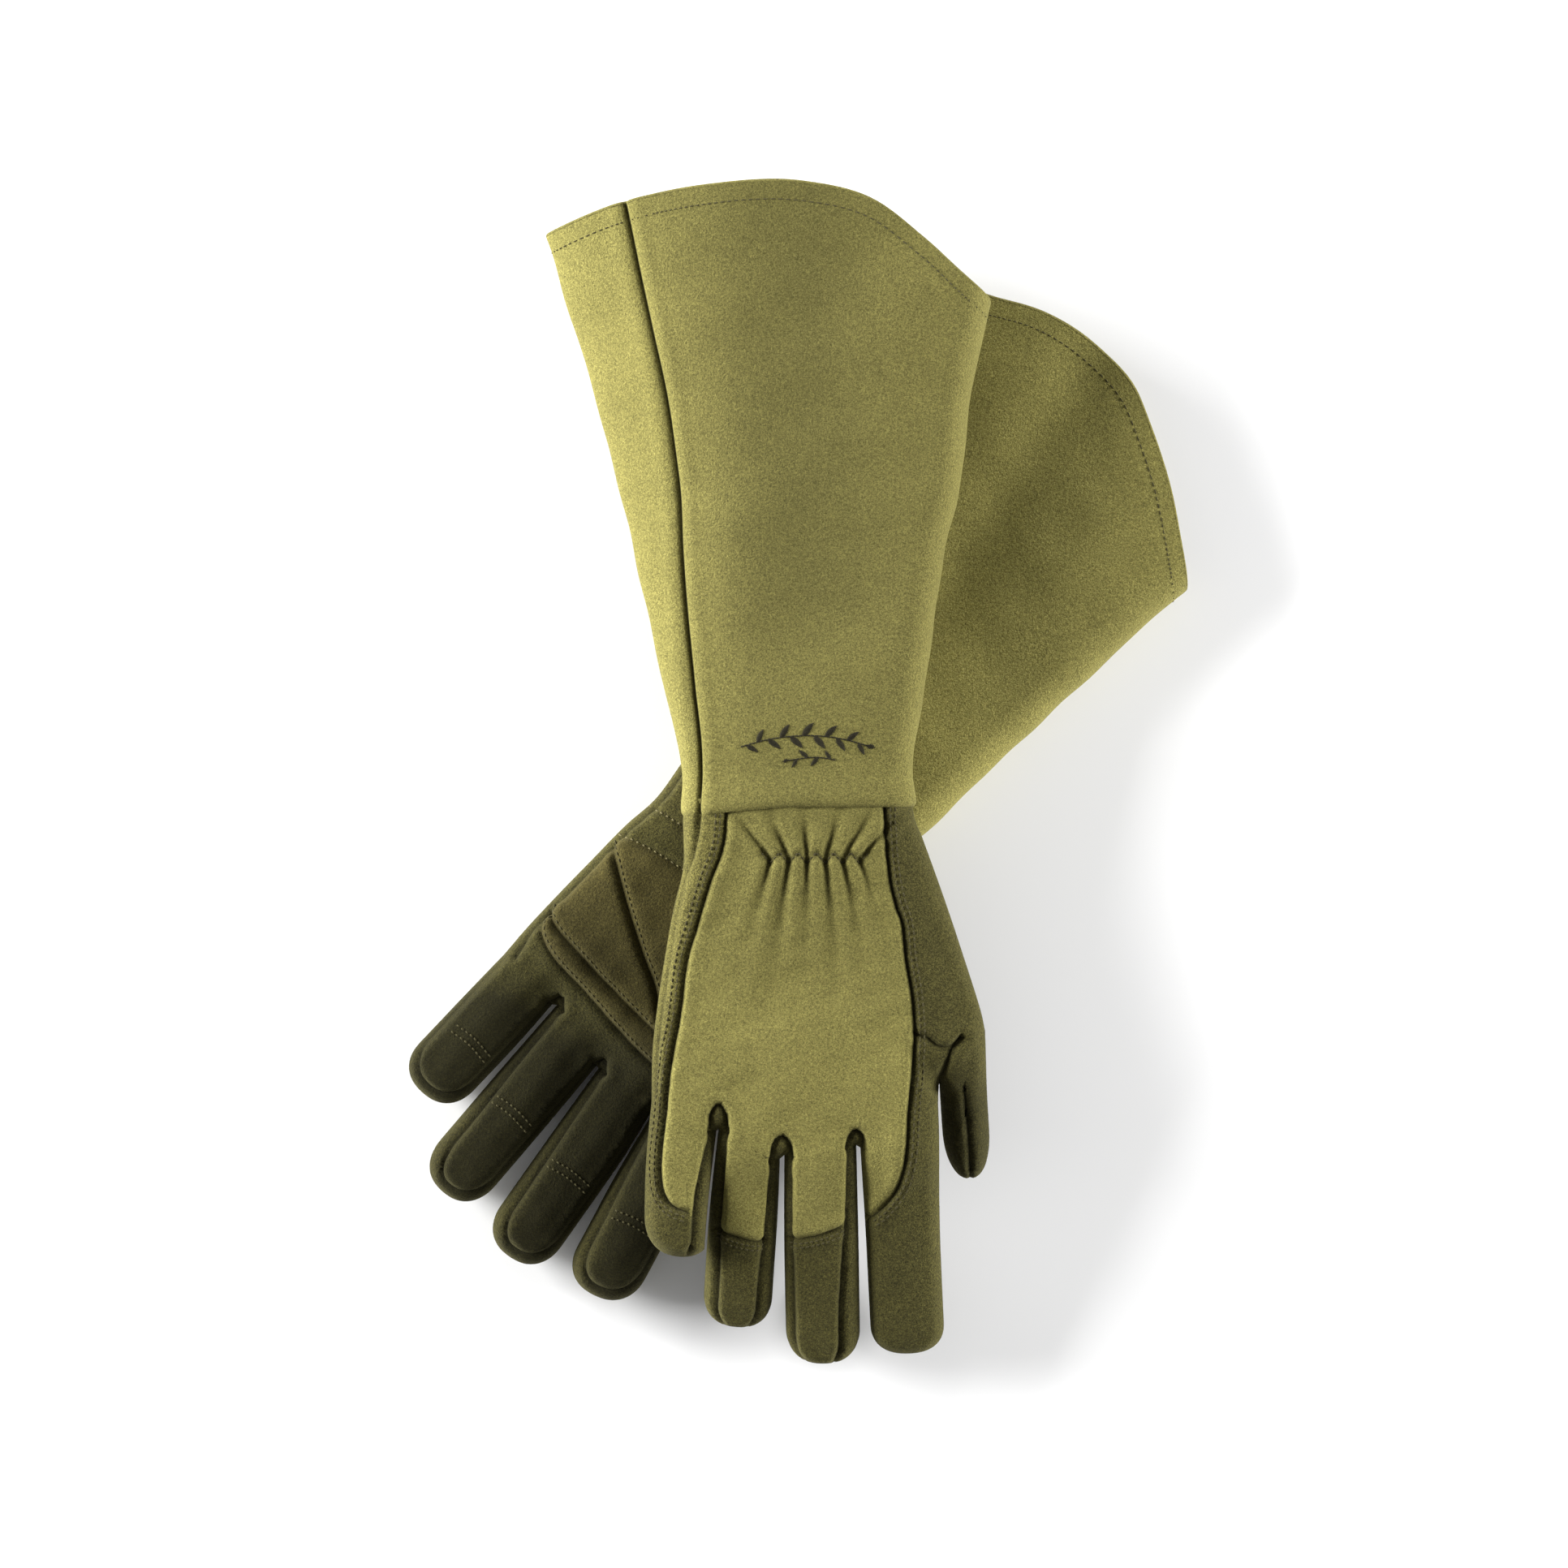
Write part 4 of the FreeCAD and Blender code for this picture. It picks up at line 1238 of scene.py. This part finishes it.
# Columns of a ring from the outer edge to the side seam and on, over the top and back below.
TOP_SIDE, TOP_MAIN, LOW_MAIN, LOW_SIDE = 20, 80, 56, 14
CUFF_ROWS = 96


def curve_value(points, at):
    """A smooth curve through (place, value) pairs, read at any place."""
    xs, ys = np.array(points, float).T
    slopes = np.gradient(ys, xs)
    at = np.clip(np.asarray(at, float), xs[0], xs[-1])
    i = np.clip(np.searchsorted(xs, at) - 1, 0, len(xs) - 2)
    span = xs[i + 1] - xs[i]
    t = (at - xs[i]) / span
    return ((2 * t**3 - 3 * t**2 + 1) * ys[i] + (t**3 - 2 * t**2 + t) * span * slopes[i]
            + (3 * t**2 - 2 * t**3) * ys[i + 1] + (t**3 - t**2) * span * slopes[i + 1])


def cuff_edges(side, y):
    """How far the gauntlet's two edges lie from its middle line."""
    return float(curve_value(CUFF_OUTER, y)), float(curve_value(CUFF_INNER[side], y))


def cuff_ring(side, v, columns):
    """One ring of the gauntlet, v from 0 at the wrist to 1 at the mouth.

    columns lists (1 on top or -1 below, share across from the little finger's side)."""
    out = []
    for face, across in columns:
        start = WRIST_TILT[0] + (WRIST_TILT[1] - WRIST_TILT[0]) * min(1.0, 2.2 * across)
        y = start + v * (float(curve_value(MOUTH[side], across)) - start)
        left, right = cuff_edges(side, y / CUFF_SHARE[side])
        wide = left + right
        x = -left + wide * across
        half = float(curve_value(CUFF_DEPTH[side], y))
        # flat like the hand at the wrist, domed where the gauntlet has opened
        opened = float(smoothstep(y / 90.0))
        flat = float(puff(min(x + left, right - x))) * half / (SIDE_RISE + CROWN_RISE)
        peak = 1 - CUFF_EDGE_ROLL / wide
        lean = across / peak if across < peak else 1 - (across - peak) / (1 - peak)
        domed = half * math.sqrt(max(0.0, 1 - (1 - lean) ** 2))
        rise = (1 - opened) * flat + opened * domed
        if face > 0:
            rise -= CUFF_HOLLOW * opened * math.exp(-(((across - 0.53) / 0.16) ** 2))
        sag = CUFF_SAG[side] * float(smoothstep((y - 15.0) / 130.0)) * max(0.0, 1 - 1.9 * across) ** 2
        out.append((x, y, face * rise + (half - CUFF_DEPTH[side][0][1]) - sag))
    return np.array(out)


def seam_share(side, v):
    """Where the side seam crosses the ring, as a share of the width."""
    y = v * CUFF_LENGTH
    return float(curve_value(SIDE_SEAM, y)) / sum(cuff_edges(side, y))


def eased(low, high, count, tight_low=False, tight_high=False):
    """Shares from low up to high, closer together at an end that is turned under."""
    t = np.linspace(0.0, 1.0, count)
    if tight_low and tight_high:
        t = (1 - np.cos(t * math.pi)) / 2
    elif tight_low:
        t = 1 - np.cos(t * math.pi / 2)
    elif tight_high:
        t = np.sin(t * math.pi / 2)
    return low + (high - low) * t


def cuff_columns(side, v):
    """The columns of a ring, as cuff_ring takes them."""
    seam = seam_share(side, v)
    low_seam = 0.6 * seam
    top = list(eased(0.0, seam, TOP_SIDE, tight_low=True, tight_high=True))
    top += list(eased(seam, 1.0, TOP_MAIN, tight_low=True, tight_high=True))[1:]
    low = list(eased(low_seam, 1.0, LOW_MAIN, tight_high=True))[::-1][1:]
    low += list(eased(0.0, low_seam, LOW_SIDE, tight_low=True))[::-1][1:-1]
    return [(1, a) for a in top] + [(-1, a) for a in low]


def build_cuff(side):
    """The outside of a gauntlet, ring by ring, and the painted shade and painted light on each point of
    it.
    """
    rows = np.linspace(0.0, 1.0, CUFF_ROWS) ** 1.12
    rings = np.array([cuff_ring(side, v, cuff_columns(side, v)) for v in rows])
    around = rings.shape[1]
    points = rings.reshape(-1, 3)
    plan = points[:, :2]
    top = np.array([face for face, _ in cuff_columns(side, 0.5)]) > 0
    tops = np.tile(top, CUFF_ROWS)
    columns = np.tile(np.arange(around), CUFF_ROWS)
    seam_top, seam_low = TOP_SIDE - 1, around - LOW_SIDE + 1
    x = rings[:, :, 0]
    near_top = np.abs(x - x[:, seam_top, None]) + np.where(top, 0, 50)
    near_low = np.abs(x - x[:, seam_low, None]) + np.where(top, 50, 0)
    seam_gap = np.minimum(near_top, near_low).ravel()
    edge = np.repeat(1 - rows, around) * CUFF_LENGTH
    start = np.repeat(rows, around) * CUFF_LENGTH
    # the side seam, the wrist seam, the hem's stitching and soft long folds
    push = -1.3 * np.exp(-((seam_gap / 0.7) ** 2)) - 0.5 * np.exp(-((seam_gap / 2.2) ** 2))
    push += 0.45 * np.exp(-(((seam_gap - 4.5) / 2.6) ** 2))
    push += CUFF_LAP * (1 - smoothstep(start / CUFF_LAP_REACH)) - 1.1 * np.exp(-((start / 1.2) ** 2))
    push -= 0.35 * np.exp(-(((edge - HEM_STITCH_INSET) / 0.9) ** 2))
    away = smoothstep(plan[:, 1] / 30.0)
    push += away * (0.9 * ripples(plan, 85.0, 41 + len(side)) + 0.3 * ripples(plan, 30.0, 43))
    # painted shade in the creases of the side seam and the wrist seam
    side_crease = np.exp(-((seam_gap / 0.55) ** 2))
    wrist_crease = 0.5 * np.exp(-((start / 0.5) ** 2))
    shade = CREASE_SHADE * np.maximum(side_crease, wrist_crease)
    # painted light: the side panel, and the main panel beside its seam, are coloured lighter
    panel_side = (columns < seam_top) | (columns > seam_low)
    painted_light = np.where(panel_side, 1.0, 0.6 * (1 - smoothstep(seam_gap / 26.0)) * tops)
    shade = np.where(seam_gap < 0.6, shade, shade - CUFF_PAINTED_LIGHT[side] * painted_light)
    if side == "right":
        # painted shade: the middle of the right gauntlet's top is coloured darker, more so away from
        # the wrist
        centre = 0.24 * np.exp(-((plan[:, 0] / 30.0) ** 2)) * tops
        shade += centre * smoothstep((plan[:, 1] - 35.0) / 60.0)
    else:
        # painted light: the left gauntlet's main panel is coloured lighter too, and the whole of it
        # more so near the wrist
        shade -= np.where(panel_side, 0.0, CUFF_PAINTED_LIGHT[side])
        shade -= 0.3 * (1 - smoothstep((plan[:, 1] - 50.0) / 90.0))
        valley = np.exp(-(((plan[:, 0] + 8.0 - 0.07 * (200 - plan[:, 1])) / 13.0) ** 2))
        push -= 1.8 * valley * smoothstep((plan[:, 1] - 60) / 50.0) * tops
    base = points + (0.0, 0.0, middle_level(side))
    faces = []
    for row in range(CUFF_ROWS - 1):
        for i in range(around):
            j = (i + 1) % around
            a, b = row * around + i, row * around + j
            c, d = b + around, a + around
            faces += [(a, b, c), (a, c, d)]
    faces = np.array(faces)
    normals = vertex_normals(base, faces)
    if normals[seam_top + 20][2] < 0:
        faces = faces[:, ::-1]
        normals = -normals
    outer = to_row(base + normals * push[:, None], side)
    outer[:, 2] = np.maximum(outer[:, 2], REST_CLEAR)
    first, last = columns[faces].min(1), columns[faces].max(1)
    side_panel = (last <= seam_top) | (first >= seam_low) | ((first == 0) & (last == around - 1))
    return {"outer": outer, "normals": vertex_normals(outer, faces), "faces": faces, "shade": shade,
            "side_panel": side_panel}


def place_cuff(piece, side):
    """The left gauntlet rides on its hand; the right one stays where it was made, its transform applied
    to its mesh.
    """
    if side == "left":
        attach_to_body(piece, "left_hand")
        return
    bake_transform(piece)


def dress_cuff(side):
    """The gauntlet's panels, its hem and its stitching as pieces."""
    cuff = build_cuff(side)
    inner = cuff["outer"] - cuff["normals"] * CLOTH
    side_panel = cuff["side_panel"]
    for name, mine in (("gauntlet_main_panel", ~side_panel), ("gauntlet_side_panel", side_panel)):
        piece = solid_panel(f"{side}_{name}_suede", cuff["outer"], inner, cuff["normals"],
                            cuff["faces"][mine], "light_suede", cuff["shade"])
        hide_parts(f"{side}_{name}")
        place_cuff(piece, side)
    rings = cuff["outer"].reshape(CUFF_ROWS, -1, 3)
    normals = cuff["normals"].reshape(CUFF_ROWS, -1, 3)
    hem = build_hem(side, rings, normals)
    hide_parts(f"{side}_gauntlet_hem")
    place_cuff(hem, side)
    place_cuff(sew_hem(side, rings, normals), side)
    if side == "right":
        place_cuff(embroider(cuff, side), side)


def sew_hem(side, rings, normals):
    """The row of stitches that holds the hem."""
    stitches = []
    line = cuff_fraction_line(rings, HEM_STITCH_INSET)
    for i, (a, b, n) in enumerate(zip(line, np.roll(line, -1, axis=0), normals[-8])):
        size = np.linalg.norm(b - a)
        if size < STITCH_PITCH * 0.6 and i % 3:
            continue
        count = max(1, int(round(size / STITCH_PITCH)))
        for k in range(count):
            start, end = (k + 0.15) / count, (k + 0.85) / count
            stitches.append((a + (b - a) * start, a + (b - a) * end, n))
    return thread_mesh(f"{side}_hem_stitches", stitches, "light_suede", "thread", HEM_THREAD)


def leaf(tip, root, width):
    """Satin stitches across a pointed leaf, as pairs of ends in the glove frame."""
    root, tip = np.array(root), np.array(tip)
    along = tip - root
    size = np.linalg.norm(along)
    along = along / size
    aside = np.array((-along[1], along[0]))
    pairs = []
    for t in np.linspace(0.06, 0.97, int(size / 0.5)):
        half = width / 2 * math.sin(math.pi * t**0.8) ** 0.8 + 0.08
        centre = root + along * size * t
        across = aside * half + along * 0.35 * half
        pairs.append((centre - across, centre + across))
    return pairs


def sprig(stem, leaves, size):
    """A stem with leaves to either side and one at its end."""
    stem = smooth_line(stem, 0.5)
    pairs = [(stem[i], stem[min(i + 3, len(stem) - 1)]) for i in range(0, len(stem) - 2, 3)]
    for i in range(leaves):
        at = int((i + 0.6) / leaves * (len(stem) - 4))
        heading = math.atan2(*(stem[at + 3] - stem[at])[::-1])
        swing = math.radians(48 if i % 2 else -48)
        reach = size * (0.85 + 0.3 * math.sin(math.pi * (i + 0.5) / leaves))
        tip = stem[at] + reach * np.array((math.cos(heading + swing), math.sin(heading + swing)))
        pairs += leaf(tip, stem[at], 0.42 * reach)
    return pairs + leaf(stem[-1] + (stem[-1] - stem[-8]) / 4 * size * 0.6, stem[-1], 0.4 * size)


def embroider(cuff, side):
    """Two leafy sprigs worked in dark thread on the gauntlet, just above the wrist."""
    pairs = sprig(((-22.0, 23.5), (-10.0, 26.6), (4.0, 27.8), (16.0, 26.6), (26.0, 24.0)), 11, 5.4)
    pairs += sprig(((14.0, 18.6), (6.0, 19.6), (-4.0, 18.4)), 4, 3.8)
    tree = BVHTree.FromPolygons(cuff["outer"].tolist(), cuff["faces"].tolist())
    stitches = []
    for pair in pairs:
        above = to_row(np.column_stack((pair, (100.0, 100.0))), side)
        hits = [tree.ray_cast(point, (0.0, 0.0, -1.0)) for point in above.tolist()]
        stitches.append((np.array(hits[0][0]), np.array(hits[1][0]), np.array(hits[0][1])))
    return thread_mesh(f"{side}_sprig_stitches", stitches, "light_suede", "leaf_thread", SPRIG_THREAD)


def cuff_fraction_line(rings, inset):
    """The line round the gauntlet that lies inset back from its mouth."""
    out = []
    for i in range(rings.shape[1]):
        column = rings[::-1, i]
        steps = np.linalg.norm(np.diff(column, axis=0), axis=1)
        along = np.concatenate(([0.0], np.cumsum(steps)))
        out.append([np.interp(inset, along, column[:, k]) for k in range(3)])
    return np.array(out)


def build_hem(side, rings, normals):
    """The turned-in hem: it rolls over the mouth's edge and lies flat inside."""
    around = rings.shape[1]
    edge, out_normal = rings[-1], normals[-1]
    forward = edge - rings[-4]
    forward /= np.linalg.norm(forward, axis=1)[:, None]
    forward -= out_normal * (forward * out_normal).sum(1)[:, None]
    forward /= np.linalg.norm(forward, axis=1)[:, None]
    centre = edge - out_normal * HEM_RADIUS
    profile = []
    for angle in np.linspace(math.pi / 2, -math.pi / 2, 9):
        profile.append(centre + HEM_RADIUS * (math.cos(angle) * forward + math.sin(angle) * out_normal))
    for inset in HEM_INSETS:
        profile.append(cuff_fraction_line(rings, inset) - out_normal * (2 * HEM_RADIUS))
    for inset in HEM_INSETS[::-1]:
        profile.append(cuff_fraction_line(rings, inset) - out_normal * (CLOTH + 0.15))
    profile.append(centre + out_normal * 0.05)
    count = len(profile)
    faces = []
    for r in range(count):
        s = (r + 1) % count
        for i in range(around):
            j = (i + 1) % around
            faces.append((r * around + i, s * around + i, s * around + j, r * around + j))
    return new_mesh(f"{side}_gauntlet_hem_suede", np.vstack(profile), faces, "light_suede")


# ---------------------------------------------------------------- scene

# What the picture shows across its width, in metres, and the camera that sees it.
PICTURE_WIDTH = 0.599
LENS = 85.0
SENSOR = 36.0
VIEW_CENTRE = (-0.00756, -0.0037)
EYE_LEVEL = 0.035
# The lamps, as (name, place, size, power), and the light from all round.
LAMPS = (("key", (-2.0, 0.62, 0.5), 1.3, 190.0), ("side", (2.0, 0.2, 0.52), 1.4, 112.0))
AMBIENT = 0.22
FLOOR_SIZE = 8.0
FLOOR_LEVEL = -0.0005
FLOOR_TONE = 0.9


def studio():
    """A pale floor, low lamps to the left and the right, and a camera looking down."""
    bpy.ops.mesh.primitive_plane_add(size=FLOOR_SIZE, location=(0, 0, FLOOR_LEVEL))
    floor = bpy.context.object
    floor.name = "studio_floor"
    paint = bpy.data.materials.new("studio_floor_paint")
    paint.use_nodes = True
    shader = paint.node_tree.nodes["Principled BSDF"]
    shader.inputs["Base Color"].default_value = (FLOOR_TONE, FLOOR_TONE, FLOOR_TONE, 1)
    shader.inputs["Roughness"].default_value = 0.9
    floor.data.materials.append(paint)
    for name, place, size, power in LAMPS:
        lamp = bpy.data.lights.new(name, "AREA")
        lamp.size = size
        lamp.energy = power
        holder = link_new(name, lamp)
        holder.location = place
        holder.rotation_euler = (-Vector(place)).to_track_quat("-Z", "Y").to_euler()
    world = bpy.data.worlds.new("studio")
    world.use_nodes = True
    background = world.node_tree.nodes["Background"]
    background.inputs["Color"].default_value = (1, 1, 1, 1)
    background.inputs["Strength"].default_value = AMBIENT
    lens = bpy.data.cameras.new("camera")
    lens.lens = LENS
    lens.sensor_width = SENSOR
    camera = link_new("camera", lens)
    camera.location = (*VIEW_CENTRE, EYE_LEVEL + PICTURE_WIDTH * LENS / SENSOR)
    scene = bpy.context.scene
    scene.world = world
    scene.camera = camera
    scene.view_settings.view_transform = "Standard"


for glove in ("left", "right"):
    dress_hand(glove)
    dress_cuff(glove)
studio()
